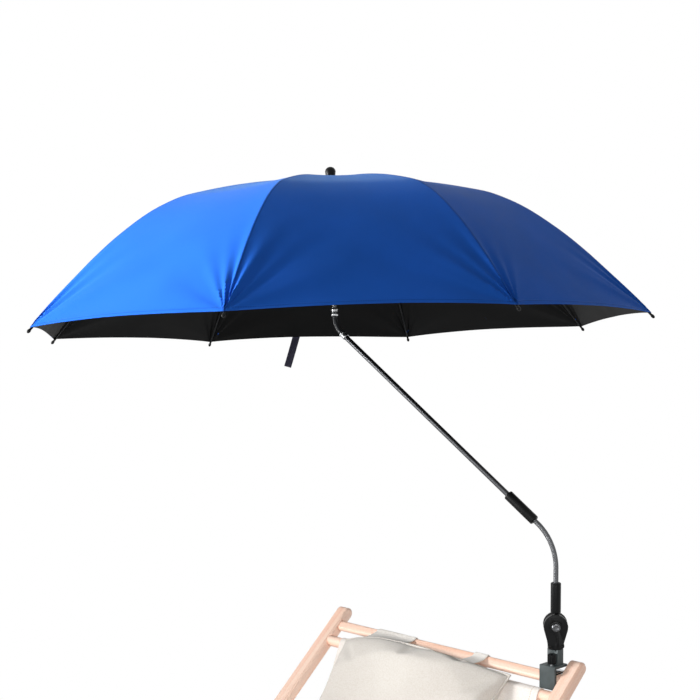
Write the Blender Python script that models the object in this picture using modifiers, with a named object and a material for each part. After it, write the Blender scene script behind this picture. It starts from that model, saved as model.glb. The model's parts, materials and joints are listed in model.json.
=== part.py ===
"""Wooden folding sling chair with a parasol clamped to its top crossbar.

Metres, +Z up, floor at Z = 0. The chair faces -Y and its crossbars lie along X.
"""
import bpy
import bmesh
from math import acos, asin, atan2, ceil, cos, pi, radians, sin, sqrt, tan
from mathutils import Matrix, Vector

# Back frame, the long pair of rails
inner_width = 0.500
rail_wide = 0.026
rail_deep = 0.021
rail_round = 0.003
back_rail_length = 1.270
recline = radians(41.0)
pivot_from_foot = 0.450
prop_from_foot = 0.800
crossbar_from_top = 0.038
sling_dowel_from_top = 0.073
foot_bar_from_foot = 0.042
crossbar_wide = 0.018
crossbar_thick = 0.012
dowel_radius = 0.0095
mortise_depth = 0.014
fit_gap = 0.0003

# Seat frame, the short pair of rails inside the back frame
seat_back_length = 0.626
seat_front_length = 0.360
seat_rail_overhang = 0.026
washer_thick = 0.003

# Prop, the frame that stands in the notches of the seat rails
prop_length = 0.460
prop_rail_wide = 0.018
prop_bar_radius = 0.011
prop_end_margin = 0.016
notch_seat_height = 0.0125
notch_spacing = 0.055
notch_count = 3

# Pivot hardware
bolt_radius = 0.003
bolt_head_radius = 0.0075
bolt_head_height = 0.0028
head_recess = 0.0032
washer_radius = 0.009
nut_radius = 0.0060
nut_height = 0.0085

# Sling and headrest pillow
sling_side_gap = 0.035
sling_thick = 0.0016
sling_sag = 0.270
sling_lines = 26
pillow_width = 0.365
pillow_length = 0.230
pillow_thick = 0.056
pillow_lean = radians(54.0)
pillow_top_drop = 0.012
pillow_lift = 0.034
pillow_seam_share = 0.16
pillow_side_draw = 0.045
pillow_end_draw = 0.060
strap_width = 0.036
strap_thick = 0.0018
strap_seat = 0.0300
strap_spacing = 0.215
strap_shift = -0.010

# Clamp on the top crossbar
clamp_from_rail = 0.018
clamp_wide = 0.031
grip_half = 0.0088
web_setout = 0.0110
liner_thick = 0.0020
hook_thick = 0.0045
web_thick = 0.0048
arm_height = 0.0225
arm_thick = 0.0042
arm_reach = 0.0180
jaw_lip = 0.0032
slider_thick = 0.0022
jaw_round = 0.0012
post_wide = 0.0205
post_deep = 0.0150
post_setback = 0.0060
post_top = 0.0465
screw_radius = 0.0030
screw_setout = 0.0085
screw_side = 0.0040
knob_radius = 0.0070
knob_bottom = 0.0250
knob_top = 0.0410
knob_grooves = 10
groove_radius = 0.0011

# Tilting head
tilt_height = 0.0840
tilt_heading = radians(-50.0)
cheek_radius = 0.0195
cheek_thick = 0.0060
tongue_thick = 0.0120
tongue_radius = 0.0185
swivel_foot_radius = 0.0125
swivel_foot_height = 0.0110
swivel_spigot_radius = 0.0060
swivel_spigot_depth = 0.0100
base_half_width = 0.0128
bridge_height = 0.0050
tilt_bolt_radius = 0.0040
tilt_bolt_head_radius = 0.0070
tilt_bolt_head_height = 0.0036
lever_length = 0.0350
lever_wide = 0.0090
lever_thick = 0.0034
lever_boss_radius = 0.0095
lever_hook = 0.0070
lever_angle = radians(-163.0)

# Arm: sleeves, necks and pole
sleeve_radius = 0.0083
sleeve_round = 0.0012
lower_sleeve_length = 0.0490
head_stub_radius = 0.0060
stub_seat = 0.0160
neck_seat = 0.0100
lower_neck_lead = 0.0230
lower_neck_radius = 0.0870
neck_radius = 0.0041
neck_bore_radius = 0.0022
neck_rib_depth = 0.00045
neck_rib_pitch = 0.0042
sleeve_lead = 0.0060
upper_sleeve_length = 0.0620
pole_radius = 0.0045
pole_reach = 0.4875
pole_seat_depth = 0.0300
pole_heading = radians(189.5)
pole_lean = radians(52.6)
ferrule_radius = 0.0062
ferrule_length = 0.0120
ferrule_seat = 0.0060
ferrule_bead = 0.0006
tube_wall = 0.0010
upper_neck_radius = 0.0420

# Parasol
canopy_radius = 0.550
canopy_height = 0.2620
canopy_lean = radians(5.3)
canopy_lean_heading = radians(153.8)
first_rib_heading = radians(29.1)
rib_count = 8
gore_steps = 4
canopy_thick = 0.0006
hem_lift = 0.0060
crown_hole_radius = 0.0056
shaft_radius = 0.0045
shaft_bottom = 0.0220
shaft_ferrule_length = 0.0140
shaft_seat = 0.0060
shaft_over = 0.0100
crown_radius = 0.0150
crown_height = 0.0100
crown_drop = 0.0160
hinge_circle = 0.0110
crown_taper = 0.0020
finial_radius = 0.0095
finial_height = 0.0230
rib_radius = 0.0016
rib_gap = 0.0006
rib_slot = 0.0046
tip_ball_radius = 0.0036
tip_reach = 0.0040
rivet_radius = 0.0010
stretcher_reach = 0.0800
stretcher_length = 0.1160
stretcher_wide = 0.0030
stretcher_thick = 0.0016
stretcher_offset = 0.0035
runner_circle = 0.0120
runner_radius = 0.0090
runner_flange_radius = 0.0150
runner_length = 0.0340
runner_flange_height = 0.0090
runner_bore_radius = 0.0049
button_radius = 0.0030
button_proud = 0.0026
button_depth = 0.0021
tie_width = 0.0150
tie_length = 0.0590
tie_thick = 0.0012
tie_heading = radians(225.0)
tie_lean = radians(16.0)

# Shares of the canopy's radius and height along a rib, from the hub to the tip
rib_line_shares = [(0.000, 1.000), (0.160, 0.991), (0.320, 0.955), (0.480, 0.879), (0.539, 0.836),
                   (0.629, 0.733), (0.729, 0.576), (0.804, 0.435), (0.867, 0.300), (0.930, 0.160),
                   (1.000, 0.000)]
tie_hem_share = 0.43

# Shares of the tilt bolt's head, the finial and a rib's ball end
bolt_head_shares = [(0.00, 0.72), (0.42, 0.72), (0.55, 1.00), (0.82, 0.92), (1.00, 0.55), (1.00, 0.00)]
finial_shares = [(0.00, 1.00), (0.35, 0.98), (0.65, 0.92), (0.88, 0.80), (1.00, 0.66), (0.90, 0.34),
                 (1.22, 0.07), (1.22, 0.00)]
ball_shares = [(0.0, 1.0), (0.4, 1.85), (1.1, 2.25), (2.0, 2.1), (2.8, 1.2)]

# Cutters reach past what they cut; numbers of sides for round forms
cutter_overrun = 0.0040
bore_sides = 12
round_sides = 16
fine_sides = 22
groove_sides = 6


# Collections, materials and simple forms
for old in list(bpy.data.objects):
    bpy.data.objects.remove(old, do_unlink=True)

parts = bpy.data.collections.new("umbrella_chair")
cutters = bpy.data.collections.new("umbrella_chair_cutters")
bpy.context.scene.collection.children.link(parts)
bpy.context.scene.collection.children.link(cutters)
world_of = {}


def material(name, colour, roughness, metallic=0.0):
    made = bpy.data.materials.new(name)
    made.use_nodes = True
    shader = made.node_tree.nodes["Principled BSDF"]
    shader.inputs["Base Color"].default_value = (*colour, 1.0)
    shader.inputs["Roughness"].default_value = roughness
    shader.inputs["Metallic"].default_value = metallic
    return made


beech = ((0.72, 0.42, 0.27), 0.5, 0.0)
canvas = ((0.80, 0.77, 0.71), 0.9, 0.0)
steel = ((0.62, 0.63, 0.65), 0.25, 1.0)
black_plastic = ((0.012, 0.012, 0.014), 0.4, 0.0)
grey_plastic = ((0.16, 0.19, 0.20), 0.45, 0.0)
rubber = ((0.05, 0.05, 0.05), 0.8, 0.0)
taffeta = ((0.012, 0.075, 0.42), 0.55, 0.0)
dark_web = ((0.01, 0.012, 0.04), 0.8, 0.0)


def empty(name, world, parent=None):
    made = bpy.data.objects.new(name, None)
    parts.objects.link(made)
    return attach(made, world, parent)


def attach(made, world, parent=None):
    world_of[made.name] = world.copy()
    if parent is not None:
        made.parent = parent
        made.matrix_basis = world_of[parent.name].inverted() @ world
    else:
        made.matrix_basis = world
    return made


def part(name, data, finish, world, parent):
    made = bpy.data.objects.new(name, data)
    parts.objects.link(made)
    data.materials.clear()
    data.materials.append(material(name + "_finish", *finish))
    return attach(made, world, parent)


def cutter(name, data, world, target):
    made = bpy.data.objects.new(name, data)
    cutters.objects.link(made)
    attach(made, world, target)
    made.hide_render = True
    made.display_type = "WIRE"
    modifier = target.modifiers.new(name, "BOOLEAN")
    modifier.operation = "DIFFERENCE"
    modifier.solver = "EXACT"
    modifier.object = made
    return made


def join_solid(name, data, world, target):
    made = cutter(name, data, world, target)
    target.modifiers[name].operation = "UNION"
    return made


def bevelled(target, width, angle=radians(40.0)):
    modifier = target.modifiers.new("rounded_edges", "BEVEL")
    modifier.width = width
    modifier.segments = 1
    modifier.limit_method = "ANGLE"
    modifier.angle_limit = angle
    modifier.use_clamp_overlap = True
    return target


def block(name, size_x, size_y, size_z, centre=(0, 0, 0)):
    form = bmesh.new()
    bmesh.ops.create_cube(form, size=1.0)
    bmesh.ops.scale(form, vec=(size_x, size_y, size_z), verts=form.verts)
    bmesh.ops.translate(form, vec=centre, verts=form.verts)
    return finish_mesh(name, form)


def rod(name, radius, length, sides=round_sides, centre=(0, 0, 0)):
    form = bmesh.new()
    bmesh.ops.create_cone(form, cap_ends=True, segments=sides, radius1=radius, radius2=radius, depth=length)
    bmesh.ops.translate(form, vec=centre, verts=form.verts)
    return finish_mesh(name, form)


def finish_mesh(name, form):
    bmesh.ops.recalc_face_normals(form, faces=form.faces)
    data = bpy.data.meshes.new(name)
    form.to_mesh(data)
    form.free()
    return data


def smooth(made):
    """Round faces shaded smooth, with their corners kept sharp."""
    made.data.shade_smooth()
    made.data.set_sharp_from_angle(angle=radians(32.0))
    return made


def turned_part(name, profile, finish, world, parent, sides=fine_sides):
    """A line of (radius, height) points, top to bottom on the outer side, turned about Z."""
    form = bmesh.new()
    points = [form.verts.new((radius, 0, height)) for radius, height in profile]
    for first, second in zip(points, points[1:]):
        form.edges.new((first, second))
    bmesh.ops.spin(form, geom=form.verts[:] + form.edges[:], cent=(0, 0, 0), axis=(0, 0, 1), angle=2 * pi,
                   steps=sides, use_merge=True)
    bmesh.ops.remove_doubles(form, verts=form.verts, dist=0.00001)
    return smooth(part(name, finish_mesh(name, form), finish, world, parent))


def curve_data(name, splines, dimensions="3D", cyclic=False, radii=None):
    data = bpy.data.curves.new(name, "CURVE")
    data.dimensions = dimensions
    for points in splines:
        spline = data.splines.new("POLY")
        spline.points.add(len(points) - 1)
        for index, point in enumerate(points):
            spline.points[index].co = (*point, 0, 1) if len(point) == 2 else (*point, 1)
            spline.points[index].radius = radii[index] if radii else 1.0
        spline.use_cyclic_u = cyclic
    return data


def tube(name, points, radius, resolution=2, radii=None):
    data = curve_data(name, [points], radii=radii)
    data.bevel_depth = radius
    data.bevel_resolution = resolution
    data.use_fill_caps = True
    return data


def outline(name, splines, thickness):
    data = curve_data(name, splines, "2D", cyclic=True)
    data.fill_mode = "BOTH"
    data.extrude = thickness / 2
    return data


def as_mesh(data, name):
    """The evaluated curve as one welded mesh whose flat faces are whole polygons."""
    maker = bpy.data.objects.new(name + "_maker", data)
    parts.objects.link(maker)
    graph = bpy.context.evaluated_depsgraph_get()
    mesh = bpy.data.meshes.new_from_object(maker.evaluated_get(graph))
    bpy.data.objects.remove(maker, do_unlink=True)
    form = bmesh.new()
    form.from_mesh(mesh)
    bmesh.ops.remove_doubles(form, verts=form.verts, dist=0.00001)
    bmesh.ops.dissolve_limit(form, angle_limit=radians(0.5), verts=form.verts, edges=form.edges)
    bmesh.ops.recalc_face_normals(form, faces=form.faces)
    form.to_mesh(mesh)
    form.free()
    mesh.name = name
    return mesh


def plate(name, splines, thickness):
    return as_mesh(outline(name, splines, thickness), name)


def arc(centre, radius, start, end, steps):
    """Points on an arc from start to end, angles in radians."""
    return [(centre[0] + radius * cos(start + (end - start) * step / steps),
             centre[1] + radius * sin(start + (end - start) * step / steps)) for step in range(steps + 1)]


def frame(origin, along_z, towards_x):
    """A placement whose Z is along_z and whose X leans to towards_x."""
    z_axis = Vector(along_z).normalized()
    x_axis = Vector(towards_x) - z_axis * Vector(towards_x).dot(z_axis)
    x_axis.normalize()
    y_axis = z_axis.cross(x_axis)
    made = Matrix((x_axis, y_axis, z_axis)).transposed().to_4x4()
    made.translation = Vector(origin)
    return made


def heading_vector(heading):
    return Vector((cos(heading), sin(heading), 0))


# Side view of the chair: places of the pivots and bars in the plane Y, Z
rail_way = Vector((0, cos(recline), sin(recline)))
rail_front = Vector((0, -sin(recline), cos(recline)))
pivot = rail_way * pivot_from_foot
seat_slope = asin(pivot.z / seat_back_length)
seat_way = Vector((0, cos(seat_slope), -sin(seat_slope)))
seat_top = Vector((0, sin(seat_slope), cos(seat_slope)))
rear_foot = pivot + seat_way * seat_back_length
prop_pivot = rail_way * prop_from_foot
crossbar = rail_way * (back_rail_length - crossbar_from_top)
top_dowel = rail_way * (back_rail_length - sling_dowel_from_top)
front_dowel = pivot - seat_way * seat_front_length

# The notch is where the prop's circle meets the line on which the prop bar sits
seat_line = pivot + seat_top * notch_seat_height
to_prop_pivot = prop_pivot - seat_line
along_seat = to_prop_pivot.dot(seat_way)
off_seat = to_prop_pivot.dot(seat_top)
notch_from_pivot = along_seat + sqrt(prop_length ** 2 - off_seat ** 2)
seat_bar_from_pivot = notch_from_pivot + notch_spacing / 2
prop_bar = seat_line + seat_way * notch_from_pivot
prop_way = (prop_bar - prop_pivot).normalized()

rail_centre = (inner_width + rail_wide) / 2
seat_rail_centre = inner_width / 2 - washer_thick - rail_wide / 2
prop_rail_centre = inner_width / 2 + rail_wide + washer_thick + prop_rail_wide / 2
sling_width = inner_width - 2 * sling_side_gap
side_names = (("left", -1), ("right", 1))

chair = empty("chair", Matrix.Identity(4))


def side_frame(origin, way, side):
    """X along a rail, Z across the chair, seen from its right."""
    return frame(Vector(origin) + Vector((side, 0, 0)), (1, 0, 0), way)


def rail_outline(length, foot_angle):
    """A rail from its floor cut to its rounded end, along +X from the point on the floor line."""
    half = rail_deep / 2
    slip = half / tan(foot_angle)
    top_arc = arc((length - half, 0), half, pi / 2, -pi / 2, 8)
    return [(-slip, half)] + top_arc + [(slip, -half)]


# Back rails: floor cut at the foot, rounded at the top, with blind mortises for the bars
for side_name, side in side_names:
    mesh = plate("back_rail_" + side_name, [rail_outline(back_rail_length, recline)], rail_wide)
    rail_place = side_frame((0, 0, 0), rail_way, side * rail_centre)
    rail = part("back_rail_" + side_name, mesh, beech, rail_place, chair)
    bevelled(rail, rail_round)
    inner_face = side * (inner_width / 2 - cutter_overrun)
    depth = mortise_depth + cutter_overrun
    mortise_middle = inner_face + side * depth / 2
    socket = block("crossbar_mortise", crossbar_wide + 2 * fit_gap, crossbar_thick + 2 * fit_gap, depth)
    cutter("crossbar_mortise_" + side_name, socket, side_frame(crossbar, rail_way, mortise_middle), rail)
    for bar_name, place in (("top_dowel", top_dowel), ("foot_bar", rail_way * foot_bar_from_foot)):
        socket = rod(bar_name + "_socket", dowel_radius + fit_gap, depth)
        cutter(bar_name + "_socket_" + side_name, socket, side_frame(place, rail_way, mortise_middle), rail)
    through = rail_wide + 2 * cutter_overrun
    for hole_name, place in (("seat_pivot", pivot), ("prop_pivot", prop_pivot)):
        hole = rod(hole_name + "_hole", bolt_radius + fit_gap, through, bore_sides)
        cutter(hole_name + "_hole_" + side_name, hole, side_frame(place, rail_way, side * rail_centre), rail)
    recess = rod("head_recess", bolt_head_radius + 2 * fit_gap, 2 * head_recess, bore_sides)
    recess_place = side_frame(prop_pivot, rail_way, side * inner_width / 2)
    cutter("head_recess_" + side_name, recess, recess_place, rail)


# Bars of the back frame, seated in their mortises
bar_length = inner_width + 2 * (mortise_depth - fit_gap)
made = part("top_crossbar", block("top_crossbar", crossbar_wide, crossbar_thick, bar_length), beech,
            side_frame(crossbar, rail_way, 0), chair)
bevelled(made, rail_round)
smooth(part("top_sling_dowel", rod("top_sling_dowel", dowel_radius, bar_length), beech,
            side_frame(top_dowel, rail_way, 0), chair))
smooth(part("foot_crossbar", rod("foot_crossbar", dowel_radius, bar_length), beech,
            side_frame(rail_way * foot_bar_from_foot, rail_way, 0), chair))

# Seat frame: it hinges on the back rails and carries the front of the sling
seat_hinge = empty("seat_hinge", side_frame(pivot, seat_way, 0), chair)
half_rail = rail_deep / 2
front_end = seat_front_length + seat_rail_overhang
seat_bar = pivot + seat_way * seat_bar_from_pivot


def seat_rail_outline():
    """From the rounded front end to the floor cut, with round notches for the prop bar on top."""
    slip = half_rail / tan(seat_slope)
    points = arc((-front_end + half_rail, 0), half_rail, pi * 3 / 2, pi / 2, 8)
    notch_radius = prop_bar_radius + fit_gap
    dip = notch_seat_height - half_rail
    half_angle = acos(dip / notch_radius)
    for step in range(notch_count):
        place = notch_from_pivot + (step - (notch_count - 1) / 2) * notch_spacing
        floor = (place, notch_seat_height)
        points += arc(floor, notch_radius, -pi / 2 - half_angle, half_angle - pi / 2, 10)
    points.append((seat_back_length + slip, half_rail))
    points.append((seat_back_length - slip, -half_rail))
    return points


for side_name, side in side_names:
    mesh = plate("seat_rail_" + side_name, [seat_rail_outline()], rail_wide)
    rail_place = side_frame(pivot, seat_way, side * seat_rail_centre)
    rail = part("seat_rail_" + side_name, mesh, beech, rail_place, seat_hinge)
    bevelled(rail, rail_round / 2, angle=radians(60.0))
    inner_face = seat_rail_centre - rail_wide / 2 - cutter_overrun
    depth = mortise_depth + cutter_overrun
    mortise_middle = side * (inner_face + depth / 2)
    for bar_name, place in (("front_dowel", front_dowel), ("seat_bar", seat_bar)):
        socket = rod(bar_name + "_socket", dowel_radius + fit_gap, depth)
        cutter(bar_name + "_socket_" + side_name, socket, side_frame(place, seat_way, mortise_middle), rail)
    hole = rod("seat_rail_hole", bolt_radius + fit_gap, rail_wide + 2 * cutter_overrun, bore_sides)
    cutter("seat_rail_hole_" + side_name, hole, rail_place, rail)

seat_bar_length = 2 * (seat_rail_centre - rail_wide / 2 + mortise_depth - fit_gap)
smooth(part("front_sling_dowel", rod("front_sling_dowel", dowel_radius, seat_bar_length), beech,
            side_frame(front_dowel, seat_way, 0), seat_hinge))
smooth(part("seat_crossbar", rod("seat_crossbar", dowel_radius, seat_bar_length), beech,
            side_frame(seat_bar, seat_way, 0), seat_hinge))

# Prop frame outside the back rails; its bar reaches across and stands in the notches
prop_hinge = empty("prop_hinge", side_frame(prop_pivot, prop_way, 0), chair)
prop_end = prop_length + prop_end_margin
prop_hole_length = prop_rail_wide + 2 * cutter_overrun
for side_name, side in side_names:
    ends = arc((prop_end - half_rail, 0), half_rail, pi / 2, -pi / 2, 8)
    ends += arc((-prop_end_margin + half_rail, 0), half_rail, -pi / 2, -pi * 3 / 2, 8)
    mesh = plate("prop_rail_" + side_name, [ends], prop_rail_wide)
    rail_place = side_frame(prop_pivot, prop_way, side * prop_rail_centre)
    rail = part("prop_rail_" + side_name, mesh, beech, rail_place, prop_hinge)
    bevelled(rail, rail_round)
    hole = rod("prop_rail_hole", bolt_radius + fit_gap, prop_hole_length, bore_sides)
    cutter("prop_rail_hole_" + side_name, hole, rail_place, rail)
    hole = rod("prop_bar_hole", prop_bar_radius / 2 + fit_gap, prop_hole_length, bore_sides)
    hole_place = side_frame(prop_bar, prop_way, side * prop_rail_centre)
    cutter("prop_bar_hole_" + side_name, hole, hole_place, rail)

prop_bar_length = 2 * (prop_rail_centre - prop_rail_wide / 2 - fit_gap)
tenon_length = 2 * (prop_rail_centre + prop_rail_wide / 2)
shoulder = prop_bar_length / 2
tenon = tenon_length / 2
tenon_radius = prop_bar_radius / 2
turned_part("prop_crossbar",
            [(0, tenon), (tenon_radius, tenon), (tenon_radius, shoulder), (prop_bar_radius, shoulder),
             (prop_bar_radius, -shoulder), (tenon_radius, -shoulder), (tenon_radius, -tenon), (0, -tenon)],
            beech, side_frame(prop_bar, prop_way, 0), prop_hinge, round_sides)


# Pivot bolts: each one holds its head, the washer between its two rails and its domed nut
def pivot_bolt(name, place, side, head_face, washer_face, nut_face, parent):
    """A turned bolt whose Z runs outwards from the middle of the chair."""
    turns = (0, pi / 6, pi / 3, pi / 2)
    nut_base = nut_face + fit_gap
    nut_side = nut_base + nut_height - nut_radius
    dome = [(nut_radius * sin(angle), nut_side + nut_radius * cos(angle)) for angle in turns]
    head_base = head_face - fit_gap
    head = [(bolt_head_radius * cos(angle), head_base - bolt_head_height * sin(angle)) for angle in turns]
    high = washer_face + washer_thick - fit_gap
    low = washer_face + fit_gap
    shank = [(nut_radius, nut_base), (bolt_radius, nut_base), (bolt_radius, high), (washer_radius, high),
             (washer_radius, low), (bolt_radius, low), (bolt_radius, head_base)]
    middle = Vector((0, place.y, place.z))
    turned_part(name, dome + shank + head, steel, frame(middle, (side, 0, 0), rail_way), parent, bore_sides)


back_outer = inner_width / 2 + rail_wide
seat_inner = seat_rail_centre - rail_wide / 2
prop_outer = prop_rail_centre + prop_rail_wide / 2
recess_floor = inner_width / 2 + head_recess
for side_name, side in side_names:
    pivot_bolt("seat_pivot_bolt_" + side_name, pivot, side, seat_inner, inner_width / 2 - washer_thick,
               back_outer, chair)
    pivot_bolt("prop_pivot_bolt_" + side_name, prop_pivot, side, recess_floor, back_outer, prop_outer, chair)


# Sling: one strip of canvas with a sewn loop round each dowel, hanging in a curve between them
def sling_points():
    """The hanging line in the side view, from the top dowel to the front dowel, as (y, z)."""
    start = Vector((top_dowel.y, top_dowel.z))
    end = Vector((front_dowel.y, front_dowel.z))
    points = []
    for step in range(sling_lines + 1):
        share = step / sling_lines
        place = start.lerp(end, share)
        points.append(place - Vector((0, 4 * sling_sag * share * (1 - share))))
    return points


def sling_outline():
    """The outer edge of the strip and its loops, and the two dowel holes."""
    line = sling_points()
    hole = dowel_radius + fit_gap
    loop = hole + sling_thick
    top = line[0]
    low = line[-1]
    leave = atan2(line[3].y - top.y, line[3].x - top.x)
    arrive = atan2(line[-4].y - low.y, line[-4].x - low.x)
    spread = 2 * asin(sling_thick / 2 / loop)
    upper = arc(top, loop, leave + spread, leave + 2 * pi - spread, round_sides)
    lower = arc(low, loop, arrive + spread, arrive + 2 * pi - spread, round_sides)
    body = [place for place in line if min((place - top).length, (place - low).length) > 2 * loop]
    over = []
    under = []
    for index, place in enumerate(body):
        before = body[max(index - 1, 0)]
        after = body[min(index + 1, len(body) - 1)]
        way = (after - before).normalized()
        normal = Vector((-way.y, way.x)) * sling_thick / 2
        over.append(tuple(place - normal))
        under.append(tuple(place + normal))
    edge = upper + over + lower + under[::-1]
    holes = [arc(centre, hole, 0, 2 * pi, round_sides)[:-1] for centre in (top, low)]
    return [edge] + holes


sling_place = Matrix(((0, 0, 1, 0), (1, 0, 0, 0), (0, 1, 0, 0), (0, 0, 0, 1)))
part("sling", plate("sling", sling_outline(), sling_width), canvas, sling_place, chair)


# Headrest pillow: a crowned cushion on the sling, held by two straps over the crossbar
def cushion_mesh(name, width, length, thick):
    """A coarse cage, crowned in the middle and drawn in at the sides between its corners."""
    columns = 8
    rows = 6
    form = bmesh.new()
    bmesh.ops.create_cube(form, size=1.0)
    across = [edge for edge in form.edges if abs(edge.verts[0].co.x - edge.verts[1].co.x) > 0.5]
    bmesh.ops.subdivide_edges(form, edges=across, cuts=columns - 1, use_grid_fill=True)
    along = [edge for edge in form.edges if abs(edge.verts[0].co.y - edge.verts[1].co.y) > 0.5]
    bmesh.ops.subdivide_edges(form, edges=along, cuts=rows - 1, use_grid_fill=True)
    for vert in form.verts:
        across_share = abs(vert.co.x) * 2
        along_share = abs(vert.co.y) * 2
        fullness = (1 - across_share ** 4) ** 0.5 * (1 - along_share ** 3) ** 0.5
        pinch = pillow_seam_share + (1 - pillow_seam_share) * fullness
        draw_x = 1 - pillow_side_draw * (1 - along_share ** 2) * across_share
        draw_y = 1 - pillow_end_draw * (1 - across_share ** 2) * along_share
        vert.co.x *= width * draw_x
        vert.co.y *= length * draw_y
        vert.co.z *= thick * pinch
    return finish_mesh(name, form)


pillow_way = Vector((0, cos(pillow_lean), sin(pillow_lean)))
pillow_face = Vector((0, -sin(pillow_lean), cos(pillow_lean)))
pillow_head = crossbar - pillow_way * pillow_top_drop + pillow_face * pillow_lift
pillow_centre = pillow_head - pillow_way * pillow_length / 2
pillow_place = frame(pillow_centre, pillow_face, (1, 0, 0))
pillow_mesh = cushion_mesh("headrest_pillow", pillow_width, pillow_length, pillow_thick)
pillow = smooth(part("headrest_pillow", pillow_mesh, canvas, pillow_place, chair))
crown_form = pillow.modifiers.new("crown", "SUBSURF")
crown_form.levels = 1
crown_form.render_levels = 1


def strap_outline():
    """A band sewn round the crossbar, with a tail that runs down into the pillow."""
    def spot(along, front):
        place = crossbar + rail_way * along + rail_front * front
        return Vector((place.y, place.z))

    bore = Vector((crossbar_wide / 2 + 2 * fit_gap, crossbar_thick / 2 + 2 * fit_gap))
    out = bore + Vector((strap_thick, strap_thick))
    tail = pillow_head - pillow_way * strap_seat
    end = Vector((tail.y, tail.z))
    start = spot(-out.x, out.y)
    normal = Vector((end.y - start.y, start.x - end.x)).normalized() * strap_thick
    ring = [spot(out.x, out.y), start, end, end - normal, start - normal]
    ring += [spot(-out.x, -out.y), spot(out.x, -out.y)]
    hole = [spot(bore.x, bore.y), spot(-bore.x, bore.y), spot(-bore.x, -bore.y), spot(bore.x, -bore.y)]
    return [[tuple(place) for place in loop] for loop in (ring, hole)]


for index, side in enumerate((-1, 1)):
    strap = plate("pillow_strap", strap_outline(), strap_width)
    strap_place = Matrix.Translation((strap_shift + side * strap_spacing / 2, 0, 0))
    join_solid("pillow_strap_" + str(index + 1), strap, strap_place @ sling_place, pillow)


# Clamp body: a hook under the crossbar, a web in front of it, an arm above and a post behind the knob
clamp_x = inner_width / 2 - clamp_from_rail
clamp_place = Matrix.Translation(crossbar + Vector((clamp_x, 0, 0)))
clamp_frame = empty("clamp_frame", clamp_place, chair)
grip_low = -grip_half - liner_thick - fit_gap
web_inner = -web_setout
web_outer = web_inner - web_thick
hook_low = grip_low - hook_thick
arm_low = arm_height - arm_thick
c_outline = [(arm_reach, arm_height), (web_outer, arm_height), (web_outer, hook_low),
             (arm_reach - hook_thick, hook_low), (arm_reach, grip_low),
             (arm_reach, grip_low + liner_thick), (arm_reach - jaw_lip, grip_low),
             (web_inner, grip_low), (web_inner, arm_low), (arm_reach, arm_low)]
body = part("clamp_body", plate("clamp_body", [c_outline], clamp_wide), grey_plastic,
            clamp_place @ sling_place, clamp_frame)
bevelled(body, jaw_round, angle=radians(50.0))
post_height = post_top - arm_height + arm_thick / 2
post = block("clamp_post", post_wide, post_deep, post_height,
             (0, post_setback, post_top - post_height / 2))
join_solid("clamp_post", post, clamp_place, body)
screw_hole_length = arm_height + cutter_overrun - grip_half
screw_hole = rod("screw_hole", screw_radius + fit_gap, screw_hole_length, bore_sides)
screw_spot = clamp_place @ Matrix.Translation((screw_side, -screw_setout, 0))
screw_hole_lift = Matrix.Translation((0, 0, grip_half + screw_hole_length / 2))
cutter("screw_hole", screw_hole, screw_spot @ screw_hole_lift, body)
knob_room = rod("knob_room", knob_radius + 4 * fit_gap, post_top, fine_sides)
cutter("knob_room", knob_room,
       screw_spot @ Matrix.Translation((0, 0, arm_height + post_top / 2)), body)
spigot_room_depth = swivel_spigot_depth + cutter_overrun
spigot_room = rod("spigot_room", swivel_spigot_radius + fit_gap, spigot_room_depth)
spigot_spot = Matrix.Translation((0, post_setback, post_top + cutter_overrun - spigot_room_depth / 2))
cutter("spigot_room", spigot_room, clamp_place @ spigot_spot, body)

liner_front = web_inner + jaw_round + fit_gap
liner_back = arm_reach - jaw_lip - jaw_round - fit_gap
liner_span = liner_back - liner_front
liner_middle = (liner_back + liner_front) / 2
part("fixed_jaw_liner",
     block("fixed_jaw_liner", clamp_wide - 4 * fit_gap, liner_span, liner_thick - fit_gap,
           (0, liner_middle, -grip_half - liner_thick / 2 - fit_gap / 2)),
     rubber, clamp_place, clamp_frame)

# Moving jaw: a plate that the screw presses down on the crossbar, with its rubber liner
slider_low = grip_half + liner_thick
jaw_slide = empty("jaw_slide", clamp_place, clamp_frame)
part("clamp_slider",
     block("clamp_slider", clamp_wide - 4 * fit_gap, liner_span, slider_thick - 2 * fit_gap,
           (0, liner_middle, slider_low + slider_thick / 2)),
     steel, clamp_place, jaw_slide)
part("slider_liner",
     block("slider_liner", clamp_wide - 4 * fit_gap, liner_span, liner_thick - 2 * fit_gap,
           (0, liner_middle, grip_half + liner_thick / 2)),
     rubber, clamp_place, jaw_slide)

# Clamp screw with its fluted knob
screw_turn = empty("screw_turn", screw_spot, jaw_slide)
screw_tip = slider_low + slider_thick
turned_part("clamp_screw",
            [(0, knob_top - 2 * fit_gap - liner_thick), (screw_radius, knob_top - 2 * fit_gap - liner_thick),
             (screw_radius, screw_tip), (0, screw_tip)],
            steel, screw_spot, screw_turn, bore_sides)
knob_bore = screw_radius + fit_gap
knob_blind = knob_top - liner_thick
knob = turned_part("clamp_knob",
                   [(0, knob_top), (knob_radius - jaw_round, knob_top), (knob_radius, knob_top - jaw_round),
                    (knob_radius, knob_bottom + jaw_round), (knob_radius - jaw_round, knob_bottom),
                    (knob_bore, knob_bottom), (knob_bore, knob_blind), (0, knob_blind)],
                   black_plastic, screw_spot, screw_turn, fine_sides)
knob_middle = (knob_top + knob_bottom) / 2
for index in range(knob_grooves):
    angle = 2 * pi * index / knob_grooves
    groove = rod("knob_groove", groove_radius, knob_top - knob_bottom + 2 * cutter_overrun, groove_sides)
    spot = Matrix.Translation((knob_radius * cos(angle), knob_radius * sin(angle), knob_middle))
    cutter("knob_groove_" + str(index + 1), groove, screw_spot @ spot, knob)

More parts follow.
